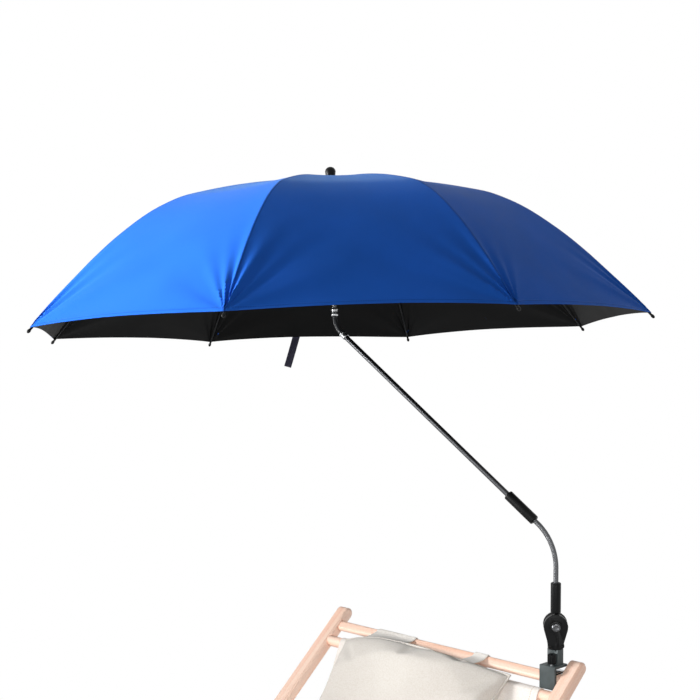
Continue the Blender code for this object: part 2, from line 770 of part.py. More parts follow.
# Swivel base: a foot that turns on the post and two round cheeks for the tilting head
post_axis = clamp_place @ Matrix.Translation((0, post_setback, 0))
tilt_spot = post_axis @ Matrix.Translation((0, 0, tilt_height))
tilt_axis_way = heading_vector(tilt_heading)
swivel = empty("swivel_axis", post_axis, clamp_frame)
tilt_place = frame(tilt_spot.translation, tilt_axis_way, (0, 0, 1))
foot_bottom = post_top + fit_gap - tilt_height
cheek_foot = foot_bottom + swivel_foot_height
cheek_out = tongue_thick / 2 + fit_gap + cheek_thick
cheek_middle = tongue_thick / 2 + fit_gap + cheek_thick / 2


def cheek_outline():
    """The round cheek and its taper down to the foot; local X is up, local Y is across."""
    reach = sqrt(cheek_foot ** 2 + base_half_width ** 2)
    touch = pi - atan2(base_half_width, -cheek_foot) - acos(cheek_radius / reach)
    round_top = arc((0, 0), cheek_radius, -touch, touch, fine_sides // 2)
    return [(cheek_foot, -base_half_width)] + round_top + [(cheek_foot, base_half_width)]


spigot_end = foot_bottom - swivel_spigot_depth + 2 * fit_gap
foot_turn = [(0, cheek_foot), (swivel_foot_radius, cheek_foot), (swivel_foot_radius, foot_bottom),
             (swivel_spigot_radius, foot_bottom), (swivel_spigot_radius, spigot_end), (0, spigot_end)]
base = turned_part("swivel_base", foot_turn, black_plastic, tilt_spot, swivel, fine_sides)
for index, side in enumerate((-1, 1)):
    cheek = plate("cheek", [cheek_outline()], cheek_thick)
    join_solid("cheek_" + str(index + 1), cheek,
               tilt_place @ Matrix.Translation((0, 0, side * cheek_middle)), base)
bridge = block("cheek_bridge", bridge_height, 2 * base_half_width, 2 * cheek_out,
               (cheek_foot - bridge_height / 2 + jaw_round, 0, 0))
join_solid("cheek_bridge", bridge, tilt_place, base)
bolt_hole_length = 2 * (cheek_out + cutter_overrun)
bolt_hole = rod("tilt_bolt_hole", tilt_bolt_radius + fit_gap, bolt_hole_length, bore_sides)
cutter("tilt_bolt_hole", bolt_hole, tilt_place, base)

# Tilting head: a tongue between the cheeks with a stub that carries the lower sleeve
head = empty("tilt_axis", tilt_place, swivel)
sleeve_low = cheek_radius + 2 * fit_gap
stub_top = sleeve_low + stub_seat
tongue_mesh = rod("tilt_head", tongue_radius, tongue_thick - 2 * fit_gap, fine_sides)
tongue = smooth(part("tilt_head", tongue_mesh, black_plastic, tilt_place, head))
stub = rod("head_stub", head_stub_radius, stub_top, round_sides, (0, 0, stub_top / 2))
join_solid("head_stub", stub, tilt_place @ Matrix.Rotation(pi / 2, 4, "Y"), tongue)
hole = rod("tongue_hole", tilt_bolt_radius + fit_gap, tongue_thick + 2 * cutter_overrun, bore_sides)
cutter("tongue_hole", hole, tilt_place, tongue)

# Cross bolt: a dished round head outside the lever and a plain one behind the far cheek
lever_face = cheek_out + fit_gap
bolt_seat = lever_face + lever_thick + fit_gap
bolt_end = -cheek_out - fit_gap
head_turn = [(share_r * tilt_bolt_head_radius, bolt_seat + share_z * tilt_bolt_head_height)
             for share_r, share_z in bolt_head_shares]
bolt_back = bolt_end - bolt_head_height
turned_part("tilt_bolt",
            head_turn + [(tilt_bolt_radius, bolt_seat), (tilt_bolt_radius, bolt_end),
                         (tilt_bolt_head_radius, bolt_end), (tilt_bolt_head_radius, bolt_back),
                         (0, bolt_back)],
            steel, tilt_place, swivel, round_sides)

# Locking lever on the bolt: a round boss, an arm and a thumb hook turned out at its end
lever_place = tilt_place @ Matrix.Translation((0, 0, lever_face)) @ Matrix.Rotation(lever_angle, 4, "Z")
lever_axis = empty("lever_axis", lever_place, swivel)


def lever_outline():
    """Boss and arm in one outline; local X runs from the bolt to the thumb end."""
    half = lever_wide / 2
    meet = asin(half / lever_boss_radius)
    boss = arc((0, 0), lever_boss_radius, meet, 2 * pi - meet, round_sides)
    end = arc((lever_length - half, 0), half, -pi / 2, pi / 2, 8)
    return boss + end


lever_spot = lever_place @ Matrix.Translation((0, 0, lever_thick / 2))
lever_mesh = plate("tilt_lever", [lever_outline()], lever_thick)
lever = part("tilt_lever", lever_mesh, black_plastic, lever_spot, lever_axis)
hook = block("lever_hook", lever_thick, lever_wide - 2 * jaw_round, lever_hook,
             (lever_length - lever_thick, 0, (lever_hook - lever_thick / 2) / 2))
join_solid("lever_hook", hook, lever_spot, lever)
hole = rod("lever_hole", tilt_bolt_radius + fit_gap, lever_thick + 2 * cutter_overrun, bore_sides)
cutter("lever_hole", hole, lever_spot, lever)


# Lower sleeve on the stub: a round sleeve with a blind bore at each end
def sleeve_profile(length, low_bore, low_depth, high_bore, high_depth):
    top_bore = [(0, length - high_depth), (high_bore, length - high_depth), (high_bore, length)]
    outer = [(sleeve_radius - sleeve_round, length), (sleeve_radius, length - sleeve_round),
             (sleeve_radius, sleeve_round), (sleeve_radius - sleeve_round, 0)]
    return top_bore + outer + [(low_bore, 0), (low_bore, low_depth), (0, low_depth)]


up = Vector((0, 0, 1))
sleeve_base = tilt_spot @ Matrix.Translation((0, 0, sleeve_low))
turned_part("lower_sleeve",
            sleeve_profile(lower_sleeve_length, head_stub_radius + fit_gap, stub_seat + 2 * fit_gap,
                           neck_radius + fit_gap, neck_seat),
            black_plastic, sleeve_base, head, fine_sides)

# Line of the arm: up out of the sleeve, round the lower bend, along the pole and round the upper bend
pole_out = heading_vector(pole_heading)
pole_way = up * cos(pole_lean) + pole_out * sin(pole_lean)
neck_foot = sleeve_base.translation + up * lower_sleeve_length
bend_start = neck_foot + up * lower_neck_lead
bend_end = bend_start + lower_neck_radius * (pole_out * (1 - cos(pole_lean)) + up * sin(pole_lean))
upper_sleeve_foot = bend_end + pole_way * sleeve_lead
pole_top = bend_end + pole_way * pole_reach
canopy_way = up * cos(canopy_lean) + heading_vector(canopy_lean_heading) * sin(canopy_lean)
upper_angle = acos(pole_way.dot(canopy_way))
upper_side = (canopy_way - pole_way * pole_way.dot(canopy_way)).normalized()
upper_arc = pole_way * sin(upper_angle) + upper_side * (1 - cos(upper_angle))
neck_head = pole_top + upper_neck_radius * upper_arc


def bent_line(start, way, side, radius, angle, lead_in, lead_out):
    """Evenly spaced points: a straight lead, an arc towards side, and a straight lead."""
    swept = radius * angle
    whole = lead_in + swept + lead_out
    count = 2 * ceil(whole / neck_rib_pitch) + 1
    corner = start + way * (lead_in + radius * sin(angle)) + side * radius * (1 - cos(angle))
    out_way = way * cos(angle) + side * sin(angle)
    points = []
    for step in range(count):
        run = whole * step / (count - 1)
        if run <= lead_in:
            points.append(start + way * run)
        elif run <= lead_in + swept:
            turned_by = (run - lead_in) / radius
            ahead = way * (lead_in + radius * sin(turned_by))
            points.append(start + ahead + side * radius * (1 - cos(turned_by)))
        else:
            points.append(corner + out_way * (run - lead_in - swept))
    return points


def ribbed_hose(name, line, finish, parent, origin):
    """A wound hose: alternate points of unlike radius between plain ends, with a plain bore."""
    last = len(line) - 1
    plain = ceil(2 * neck_radius / (line[1] - line[0]).length)
    ribbed = range(plain + 1, last - plain, 2)
    shares = [1 - neck_rib_depth / neck_radius if step in ribbed else 1.0 for step in range(last + 1)]
    local = [point - origin for point in line]
    hose_mesh = as_mesh(tube(name, local, neck_radius, 2, shares), name)
    hose = smooth(part(name, hose_mesh, finish, Matrix.Translation(origin), parent))
    first_way = (local[0] - local[1]).normalized() * cutter_overrun
    last_way = (local[-1] - local[-2]).normalized() * cutter_overrun
    bore_line = [local[0] + first_way] + local[2:-2:4] + [local[-1] + last_way]
    bore = as_mesh(tube(name + "_bore", bore_line, neck_bore_radius, 1), name + "_bore")
    cutter(name + "_bore", bore, Matrix.Translation(origin), hose)
    return hose


# Lower neck: a bendable wound hose between the two sleeves
seated = neck_seat - fit_gap
lower_line = bent_line(neck_foot - up * seated, up, pole_out, lower_neck_radius, pole_lean,
                       lower_neck_lead + seated, sleeve_lead + seated)
ribbed_hose("lower_neck", lower_line, steel, head, neck_foot)

# Upper sleeve: the joint between the neck and the pole, which turns in it
lower_corner = bend_start + up * lower_neck_radius * tan(pole_lean / 2)
arm = empty("lower_neck_axis", frame(lower_corner, pole_out.cross(up), up), head)
turned_part("upper_sleeve",
            sleeve_profile(upper_sleeve_length, neck_radius + fit_gap, neck_seat,
                           pole_radius + fit_gap, pole_seat_depth),
            black_plastic, frame(upper_sleeve_foot, pole_way, up), arm, fine_sides)

# Pole: a straight steel tube closed by the ferrule at its top
pole_foot = upper_sleeve_foot + pole_way * (upper_sleeve_length - pole_seat_depth + fit_gap)
pole_place = frame(pole_foot, pole_way, up)
pole_turn = empty("pole_axis", pole_place, arm)
arm_run = (pole_top - pole_foot).length
pole_length = arm_run - ferrule_seat - fit_gap
pole_bore = pole_radius - tube_wall
turned_part("pole",
            [(pole_bore, 0), (pole_bore, pole_length), (pole_radius, pole_length), (pole_radius, 0),
             (pole_bore, 0)],
            steel, pole_place, pole_turn, round_sides)


def ferrule_profile(length, low_bore, high_bore, change):
    """A short ring with two raised beads and a bore that changes where its two tubes meet."""
    waist = ferrule_radius - ferrule_bead
    quarter = length / 4
    outer = [(waist, length), (ferrule_radius, length - quarter / 2), (ferrule_radius, length - quarter),
             (waist, length - quarter - ferrule_bead), (waist, quarter + ferrule_bead),
             (ferrule_radius, quarter), (ferrule_radius, quarter / 2), (waist, 0)]
    inner = [(low_bore, 0), (low_bore, change), (high_bore, change)]
    return [(high_bore, change), (high_bore, length)] + outer + inner


turned_part("pole_ferrule",
            ferrule_profile(ferrule_length, pole_radius + fit_gap, neck_radius + fit_gap,
                            ferrule_length - ferrule_seat),
            steel, pole_place @ Matrix.Translation((0, 0, arm_run - ferrule_length)), pole_turn, round_sides)

# Upper neck: the shorter bendable hose under the canopy's shaft
seated = ferrule_seat - 2 * fit_gap
upper_line = bent_line(pole_top - pole_way * seated, pole_way, upper_side, upper_neck_radius, upper_angle,
                       seated, seated)
ribbed_hose("upper_neck", upper_line, grey_plastic, pole_turn, pole_top)

# Parasol frame: the origin is the centre of the plane of its rib tips, Z runs up the shaft
upper_corner = pole_top + pole_way * upper_neck_radius * tan(upper_angle / 2)
hub_axis = empty("upper_neck_axis", frame(upper_corner, pole_way.cross(canopy_way), pole_way), pole_turn)
canopy_origin = neck_head - canopy_way * shaft_bottom
canopy_place = frame(canopy_origin, canopy_way, heading_vector(first_rib_heading))
canopy_frame = empty("canopy_frame", canopy_place, hub_axis)


def on_shaft(height):
    return canopy_place @ Matrix.Translation((0, 0, height))


# Shaft with the ferrule that joins it to the upper neck
turned_part("shaft_ferrule",
            ferrule_profile(shaft_ferrule_length, neck_radius + fit_gap, shaft_radius + fit_gap, shaft_seat),
            steel, on_shaft(shaft_bottom), canopy_frame, round_sides)
shaft_low = shaft_bottom + shaft_seat + fit_gap
shaft_length = canopy_height + shaft_over - shaft_low
shaft_bore = shaft_radius - tube_wall
turned_part("shaft",
            [(shaft_bore, 0), (shaft_bore, shaft_length), (shaft_radius, shaft_length), (shaft_radius, 0),
             (shaft_bore, 0)],
            steel, on_shaft(shaft_low), canopy_frame, round_sides)

# Canopy: eight gores of thin cloth, straight between their ribs, lofted through rings of points
gore_angle = 2 * pi / rib_count
stations = [(share_r * canopy_radius, share_z * canopy_height) for share_r, share_z in rib_line_shares]
stations[0] = (crown_hole_radius, canopy_height)


def canopy_mesh():
    form = bmesh.new()
    rings = []
    for radius, height in stations:
        ring = []
        for index in range(rib_count * gore_steps):
            across = index % gore_steps / gore_steps
            heading = gore_angle * index / gore_steps
            reach = radius * cos(gore_angle / 2) / cos(gore_angle * (across - 1 / 2))
            lift = hem_lift * 4 * across * (1 - across) * (radius / canopy_radius) ** 4
            ring.append(form.verts.new((reach * cos(heading), reach * sin(heading), height + lift)))
        rings.append(ring)
    for inner_ring, outer_ring in zip(rings, rings[1:]):
        for index, corner in enumerate(inner_ring):
            after = (index + 1) % len(inner_ring)
            form.faces.new((corner, outer_ring[index], outer_ring[after], inner_ring[after]))
    data = bpy.data.meshes.new("canopy")
    form.to_mesh(data)
    form.free()
    return data


canopy = part("canopy", canopy_mesh(), taffeta, canopy_place, canopy_frame)
shell = canopy.modifiers.new("cloth", "SOLIDIFY")
shell.thickness = canopy_thick
shell.offset = -1.0
shell.use_even_offset = True

# Crown: the notched ring under the canopy in which the ribs hinge
rib_depth = canopy_thick + rib_gap + rib_radius
hinge_height = canopy_height - rib_depth
crown_top = canopy_height - canopy_thick - fit_gap
crown_low = crown_top - crown_drop
crown_bore = shaft_radius + fit_gap
crown = turned_part("crown",
                    [(crown_bore, crown_top), (crown_radius, crown_top),
                     (crown_radius, crown_top - crown_height), (crown_radius - crown_taper, crown_low),
                     (crown_bore, crown_low), (crown_bore, crown_top)],
                    black_plastic, canopy_place, canopy_frame, fine_sides)
slot_inner = hinge_circle - rib_slot / 2 - fit_gap
slot_outer = crown_radius + cutter_overrun
for index in range(rib_count):
    slot = block("rib_slot", slot_outer - slot_inner, rib_slot, crown_drop + 2 * cutter_overrun,
                 ((slot_outer + slot_inner) / 2, 0, crown_top - crown_drop / 2))
    slot_place = canopy_place @ Matrix.Rotation(gore_angle * index, 4, "Z")
    cutter("rib_slot_" + str(index + 1), slot, slot_place, crown)

# Finial: the rounded cap on top of the canopy
cap = [(share_r * finial_radius, share_z * finial_height) for share_r, share_z in finial_shares]
finial_bore = shaft_radius + fit_gap
turned_part("finial",
            cap + [(finial_bore, 0), (finial_bore, shaft_over + fit_gap), (0, shaft_over + fit_gap)],
            black_plastic, on_shaft(canopy_height + fit_gap), canopy_frame, fine_sides)


# Ribs: steel wires under the seams, each hinged in the crown, with a ball at its tip
def rib_line():
    """Points below the seam in the plane of the rib, as (reach from the shaft, height)."""
    line = [Vector((hinge_circle, hinge_height))]
    for before, place, after in zip(stations, stations[1:], stations[2:] + stations[-1:]):
        way = (Vector(after) - Vector(before)).normalized()
        line.append(Vector(place) + Vector((way.y, -way.x)) * rib_depth)
    return line


rib_path = rib_line()
tip_way = (rib_path[-1] - rib_path[-2]).normalized()
ball_reaches = [tip_reach + share * tip_ball_radius for share, swell in ball_shares]
rib_run = rib_path + [rib_path[-1] + tip_way * reach for reach in ball_reaches]
rib_swell = [1.0] * len(rib_path) + [swell for share, swell in ball_shares]
rib_points = [Vector((place.x - hinge_circle, 0, place.y - hinge_height)) for place in rib_run]


def on_rib(reach):
    """The point of the rib's line at a straight distance from its hinge."""
    for near, far in zip(rib_path, rib_path[1:]):
        near_reach = (near - rib_path[0]).length
        far_reach = (far - rib_path[0]).length
        if far_reach >= reach:
            return near.lerp(far, (reach - near_reach) / (far_reach - near_reach))


# Stretchers: flat links beside the ribs, from the rib joint down to the runner
rib_joint = on_rib(stretcher_reach)
runner_plane = rib_joint.y - sqrt(stretcher_length ** 2 - (rib_joint.x - runner_circle) ** 2)
to_runner = Vector((runner_circle - rib_joint.x, 0, runner_plane - rib_joint.y))
eye = stretcher_wide / 2
link_outline = arc((stretcher_length, 0), eye, -pi / 2, pi / 2, 4)
link_outline += arc((0, 0), eye, pi / 2, pi * 3 / 2, 4)
rivet_length = stretcher_offset - rib_radius - fit_gap
for index in range(rib_count):
    rib_plane = canopy_place @ Matrix.Rotation(gore_angle * index, 4, "Z")
    hinge_place = rib_plane @ Matrix.Translation((hinge_circle, 0, hinge_height))
    rib_name = "rib_" + str(index + 1)
    rib_axis = empty(rib_name + "_axis", hinge_place, canopy_frame)
    rib_mesh = as_mesh(tube(rib_name, rib_points, rib_radius, 1, rib_swell), rib_name)
    smooth(part(rib_name, rib_mesh, steel, hinge_place, rib_axis))
    link_name = "stretcher_" + str(index + 1)
    joint_place = rib_plane @ Matrix.Translation((rib_joint.x, 0, rib_joint.y))
    link_place = joint_place @ frame((0, stretcher_offset, 0), (0, 1, 0), to_runner)
    link_axis = empty(link_name + "_axis", link_place, rib_axis)
    link_mesh = plate(link_name, [link_outline], stretcher_thick)
    link = part(link_name, link_mesh, steel, link_place, link_axis)
    rivet = rod("rivet", rivet_radius, rivet_length, groove_sides, (0, 0, -rivet_length / 2))
    join_solid("rivet_" + str(index + 1), rivet, link_place, link)

# Runner: the sleeve that slides on the shaft, with a slotted flange for the stretchers
runner_top = runner_flange_height / 2
runner_low = runner_top - runner_length
runner_place = on_shaft(runner_plane)
runner_slide = empty("runner_slide", runner_place, canopy_frame)
runner = turned_part("runner",
                     [(runner_bore_radius, runner_top), (runner_flange_radius, runner_top),
                      (runner_flange_radius, -runner_top), (runner_radius, -runner_top - runner_radius / 2),
                      (runner_radius, runner_low), (runner_bore_radius, runner_low),
                      (runner_bore_radius, runner_top)],
                     black_plastic, runner_place, runner_slide, fine_sides)
slot_inner = runner_circle - eye - 2 * fit_gap
slot_outer = runner_flange_radius + cutter_overrun
for index in range(rib_count):
    slot = block("link_slot", slot_outer - slot_inner, stretcher_thick + 4 * fit_gap, runner_length,
                 ((slot_outer + slot_inner) / 2, stretcher_offset, 0))
    slot_place = runner_place @ Matrix.Rotation(gore_angle * index, 4, "Z")
    cutter("link_slot_" + str(index + 1), slot, slot_place, runner)

# Catch button: it stands out of the runner's side and slides inwards
button_spot = Matrix.Translation((runner_radius, 0, runner_low / 2)) @ Matrix.Rotation(pi / 2, 4, "Y")
button_place = runner_place @ Matrix.Rotation(gore_angle / 2, 4, "Z") @ button_spot
button_hole_length = 2 * runner_radius - cutter_overrun
button_hole = rod("button_hole", button_radius + fit_gap, button_hole_length, bore_sides)
cutter("button_hole", button_hole, button_place, runner)
button_slide = empty("button_slide", button_place, runner_slide)
turned_part("catch_button",
            [(0, button_proud), (button_radius - fit_gap, button_proud),
             (button_radius, button_proud - fit_gap), (button_radius, -button_depth), (0, -button_depth)],
            grey_plastic, button_place, button_slide, bore_sides)

# Tie strap: a short web that hangs from the far hem between the third and fourth ribs
hem_corners = [heading_vector(gore_angle * step) * canopy_radius for step in (3, 2)]
hem_spot = hem_corners[0].lerp(hem_corners[1], tie_hem_share)
hem_rise = hem_lift * 4 * tie_hem_share * (1 - tie_hem_share) - canopy_thick - fit_gap
hem_way = canopy_place.to_3x3() @ (hem_corners[1] - hem_corners[0])
tie_down = heading_vector(tie_heading) * sin(tie_lean) - up * cos(tie_lean)
tie_drop = tie_width / 2 * sin(tie_lean) + 2 * fit_gap
tie_top = canopy_place @ (hem_spot + Vector((0, 0, hem_rise))) + tie_down * tie_drop
part("tie_strap", block("tie_strap", tie_width, tie_thick, tie_length, (0, 0, tie_length / 2)), dark_web,
     frame(tie_top, tie_down, hem_way), bpy.data.objects["rib_4_axis"])

# The floor stays at Z = 0; the origin comes to the middle of the whole object
bpy.context.view_layer.update()
graph = bpy.context.evaluated_depsgraph_get()
corners = []
for made in parts.objects:
    if made.type == "MESH":
        solid = made.evaluated_get(graph)
        corners += [solid.matrix_world @ vert.co for vert in solid.data.vertices]
for axis in range(3):
    low = min(corner[axis] for corner in corners)
    high = max(corner[axis] for corner in corners)
    chair.location[axis] = -low if axis == 2 else -(low + high) / 2
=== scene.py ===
import json
from math import acos, atan2, cos, exp, hypot, pi, radians, sin, sqrt, tan

import bpy
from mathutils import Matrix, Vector


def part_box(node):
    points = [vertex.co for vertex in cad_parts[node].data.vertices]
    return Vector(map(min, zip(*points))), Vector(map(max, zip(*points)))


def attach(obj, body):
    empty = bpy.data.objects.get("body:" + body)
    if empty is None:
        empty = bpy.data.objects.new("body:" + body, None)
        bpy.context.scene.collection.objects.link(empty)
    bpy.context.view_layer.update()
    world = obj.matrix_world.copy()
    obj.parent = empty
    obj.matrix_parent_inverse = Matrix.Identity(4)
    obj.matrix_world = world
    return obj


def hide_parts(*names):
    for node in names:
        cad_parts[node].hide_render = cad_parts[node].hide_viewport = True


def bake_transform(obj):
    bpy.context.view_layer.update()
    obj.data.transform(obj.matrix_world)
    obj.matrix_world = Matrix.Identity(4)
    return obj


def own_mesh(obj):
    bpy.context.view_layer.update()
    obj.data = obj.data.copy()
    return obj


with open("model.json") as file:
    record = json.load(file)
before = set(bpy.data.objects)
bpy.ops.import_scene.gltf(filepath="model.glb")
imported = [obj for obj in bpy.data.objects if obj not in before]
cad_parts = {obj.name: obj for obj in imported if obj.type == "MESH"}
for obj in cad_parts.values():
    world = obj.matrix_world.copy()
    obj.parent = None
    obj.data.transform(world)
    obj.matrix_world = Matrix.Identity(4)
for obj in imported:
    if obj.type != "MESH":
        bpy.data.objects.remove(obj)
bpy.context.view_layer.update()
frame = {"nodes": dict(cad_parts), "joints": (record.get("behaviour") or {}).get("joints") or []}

nodes = frame["nodes"]
joint_of = {joint["name"]: joint for joint in frame["joints"]}

# Back frame of beech: two long rails with rounded tops, a flat crossbar, a sling dowel and a foot dowel.
# Planed and sanded beech under a clear satin oil: fine flecks along the grain and soft pale bands.
# The bars are glued into blind mortises; every arris is eased by hand.
across = Vector((1, 0, 0))
up = Vector((0, 0, 1))
multiply = {"data_type": "RGBA", "blend_type": "MULTIPLY"}


def linear(code):
    """A hex colour as linear light with full alpha."""
    parts = [int(code[place:place + 2], 16) / 255 for place in (1, 3, 5)]
    return (*(part / 12.92 if part <= 0.04045 else ((part + 0.055) / 1.055) ** 2.4 for part in parts), 1.0)


def wire(made, links):
    """Link inputs of a node to their sources, each a socket or a node's first output."""
    for key, source in links.items():
        socket = source if isinstance(source, bpy.types.NodeSocket) else source.outputs[0]
        made.id_data.links.new(socket, made.inputs[key])


def add(tree, kind, settings=None, links=None, stops=()):
    """A node of that kind, with its settings, its sources and a ramp's stops of (place, hex colour)."""
    made = tree.nodes.new(kind if tree.type == "GEOMETRY" else "ShaderNode" + kind)
    for key, value in (settings or {}).items():
        if isinstance(key, str) and key[0].islower():
            setattr(made, key, value)
        else:
            made.inputs[key].default_value = value
    wire(made, links or {})
    for index, (place, code) in enumerate(stops):
        dots = made.color_ramp.elements
        dot = dots[index] if index < 2 else dots.new(place)
        dot.position = place
        dot.color = linear(code)
    return made


def finish(name, sockets):
    """A new material and its node tree and shader; the sockets are its even values."""
    made = bpy.data.materials.new(name)
    made.use_nodes = True
    shader = made.node_tree.nodes["Principled BSDF"]
    for socket, value in sockets.items():
        shader.inputs[socket].default_value = value
    return made, made.node_tree, shader


def worn_edge(tree, reach):
    """How much the surface faces the same way as its surroundings: 1 on flats, less on edges."""
    worn = add(tree, "Bevel", {"samples": 4, "Radius": reach})
    shape = add(tree, "NewGeometry").outputs["Normal"]
    return add(tree, "VectorMath", {"operation": "DOT_PRODUCT"}, {0: worn, 1: shape}).outputs["Value"]


def beech(name, grain):
    """Oiled beech whose grain runs along the given direction."""
    made, tree, shader = finish(name, {"Coat Weight": 0.12, "Coat Roughness": 0.35})
    spot = add(tree, "TexCoord").outputs["Object"]
    turn = grain.rotation_difference(across).to_euler()
    board = add(tree, "Mapping", {"Rotation": turn}, {"Vector": spot})
    # Growth bands 333 mm long and 13 mm wide, and ray flecks 3 mm long and 0.5 mm wide
    bands, flecks = [add(tree, "Mapping", {"Scale": per_metre}, {"Vector": board})
                     for per_metre in ((3.0, 75.0, 75.0), (330.0, 2000.0, 2000.0))]
    band = add(tree, "TexNoise", {"Scale": 1.0, "Detail": 4.0, "Distortion": 0.6}, {"Vector": bands})
    fleck = add(tree, "TexNoise", {"Scale": 1.0, "Detail": 2.0}, {"Vector": flecks})
    tone = add(tree, "ValToRGB", None, {"Fac": band},
               [(0.28, "#F6C5AB"), (0.46, "#FCD5BF"), (0.72, "#FFE3D1")])
    speck = add(tree, "ValToRGB", None, {"Fac": fleck}, [(0.30, "#E0B296"), (0.44, "#FFFFFF")])
    colour = add(tree, "Mix", multiply | {0: 0.55}, {6: tone, 7: speck}).outputs[2]
    edge = add(tree, "ValToRGB", None, {"Fac": worn_edge(tree, 0.002)},
               [(0.90, "#F8DAC4"), (0.995, "#FFFFFF")])
    lit = add(tree, "Mix", multiply | {0: 0.4}, {6: colour, 7: edge}).outputs[2]
    rough = add(tree, "MapRange", {"To Min": 0.38, "To Max": 0.56}, {"Value": fleck})
    relief = add(tree, "Bump", {"Strength": 0.25, "Distance": 0.0003}, {"Height": fleck})
    wire(shader, {"Base Color": lit, "Roughness": rough, "Normal": relief})
    return made


smooth_up_to = radians(32.0)
softening = bpy.data.node_groups.new("eased_normals", "GeometryNodeTree")
for direction in ("INPUT", "OUTPUT"):
    softening.interface.new_socket("Geometry", in_out=direction, socket_type="NodeSocketGeometry")
way_in = add(softening, "NodeGroupInput")
plain = add(softening, "GeometryNodeRemoveAttribute", {"Name": "custom_normal"}, {0: way_in})
whole = add(softening, "GeometryNodeSetShadeSmooth", {"domain": "FACE"}, {0: plain})
angle = add(softening, "GeometryNodeInputMeshEdgeAngle")
gentle = add(softening, "FunctionNodeCompare", {"operation": "LESS_THAN", 1: smooth_up_to}, {0: angle})
edges = add(softening, "GeometryNodeSetShadeSmooth", {"domain": "EDGE"}, {0: whole, 2: gentle})
add(softening, "NodeGroupOutput", None, {0: edges})


def ease_normals(piece):
    piece.modifiers.new("eased_normals", "NODES").node_group = softening


def carry(names, material, ease=0.0006, steps=2):
    """The frame's own solids take a material and eased edges."""
    for name in names:
        piece = nodes[name]
        piece.data.materials.clear()
        piece.data.materials.append(material)
        piece.modifiers.new("weld", "WELD").merge_threshold = 0.00002
        flat = piece.modifiers.new("whole_faces", "DECIMATE")
        flat.decimate_type = "DISSOLVE"
        flat.angle_limit = radians(0.8)
        rounding = piece.modifiers.new("eased_edges", "BEVEL")
        rounding.width = ease
        rounding.segments = steps
        rounding.limit_method = "ANGLE"
        rounding.angle_limit = radians(28.0)
        ease_normals(piece)


def middle(name):
    low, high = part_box(name)
    return (low + high) / 2


seat_pivot = Vector(joint_of["seat_fold"]["pos_m"])
prop_pivot = Vector(joint_of["prop_swing"]["pos_m"])
rail_way = (prop_pivot - seat_pivot).normalized()
rail_front = across.cross(rail_way)
beech_across = beech("oiled_beech_bars", across)
carry(["back_rail_left", "back_rail_right"], beech("oiled_beech_back_rails", rail_way), 0.0014, 3)
carry(["top_crossbar"], beech_across, 0.0012, 3)
carry(["top_sling_dowel", "foot_crossbar"], beech_across, 0.0008)

# Seat frame of beech: two short rails with notches cut for the prop, a dowel and a crossbar.
# Same oiled beech with the grain along each rail.
# It hinges on the back rails and folds into their plane.


def rail_grain(pivot, bar):
    """The way of a rail in the side view, from its pivot to its bar."""
    way = middle(bar) - pivot
    way.x = 0
    return way.normalized()


beech_seat = beech("oiled_beech_seat_rails", rail_grain(seat_pivot, "seat_crossbar"))
carry(["seat_rail_left", "seat_rail_right"], beech_seat)
carry(["front_sling_dowel", "seat_crossbar"], beech_across, 0.0008)

# Prop frame of beech: two slats outside the back rails and a round bar that stands in the notches.
# The bar's turned ends go through the slats and are wedged.
# It swings on its own pair of bolts.
beech_prop = beech("oiled_beech_prop_rails", rail_grain(prop_pivot, "prop_crossbar"))
carry(["prop_rail_left", "prop_rail_right"], beech_prop)
carry(["prop_crossbar"], beech_across, 0.0008)

# Pivot bolts of steel with domed nuts and washers between the rails.
# Bright zinc-plated steel, turned and tumbled: a soft sheen that varies in smears 4 mm across.
# Each bolt is one solid with its washer and nut.
bright_steel, tree, shader = finish("bright_plated_steel", {"Base Color": linear("#C6C8CA"), "Metallic": 1.0})
spot = add(tree, "TexCoord").outputs["Object"]
smear = add(tree, "TexNoise", {"Scale": 260.0, "Detail": 3.0}, {"Vector": spot})
rough = add(tree, "MapRange", {"To Min": 0.16, "To Max": 0.34}, {"Value": smear})
relief = add(tree, "Bump", {"Strength": 0.08, "Distance": 0.0001}, {"Height": smear})
wire(shader, {"Roughness": rough, "Normal": relief})
carry([kind + "_pivot_bolt_" + side for kind in ("seat", "prop") for side in ("left", "right")],
      bright_steel, 0.0003)

# Sling: one strip of undyed cotton canvas, 446 mm wide, with a sewn tube at each end for its dowel.
# Plain weave of thick yarns; a 15 mm hem down each side, held by a row of stitches.
# It hangs free between the two dowels.
sling_width = 0.446
sling_shift = 0.006
sling_sag = 0.270
sling_steps = 130
sling_columns = 45
canvas_thick = 0.0012
tube_reach = 0.045
tube_steps = 22
tube_gap = 0.0003
tail_gap = 0.0004
tail_drop = 1.1
taut_end = 0.16
taut_fade = 0.10
drape_depth = 0.0016
drape_turns = (23.0, 9.0)
hem_wide = 0.015
hem_step = 0.0006
bar_middle = middle("top_crossbar")
top_dowel = middle("top_sling_dowel")
front_dowel = middle("front_sling_dowel")
dowel_low, dowel_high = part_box("top_sling_dowel")
dowel_radius = (dowel_high.z - dowel_low.z) / 2


def mesh_piece(name, points, faces, material, uv):
    """A smooth mesh object from points and faces, with flat sizes in metres as its UV."""
    data = bpy.data.meshes.new(name)
    data.from_pydata([tuple(point) for point in points], [], faces)
    data.materials.append(material)
    data.shade_smooth()
    layer = data.uv_layers.new(name="sewn_size")
    for loop in data.loops:
        layer.data[loop.index].uv = uv[loop.vertex_index]
    made = bpy.data.objects.new(name, data)
    bpy.context.scene.collection.objects.link(made)
    return made


def grid_faces(rows, columns):
    return [(row * columns + step, row * columns + step + 1, (row + 1) * columns + step + 1,
             (row + 1) * columns + step) for row in range(rows - 1) for step in range(columns - 1)]


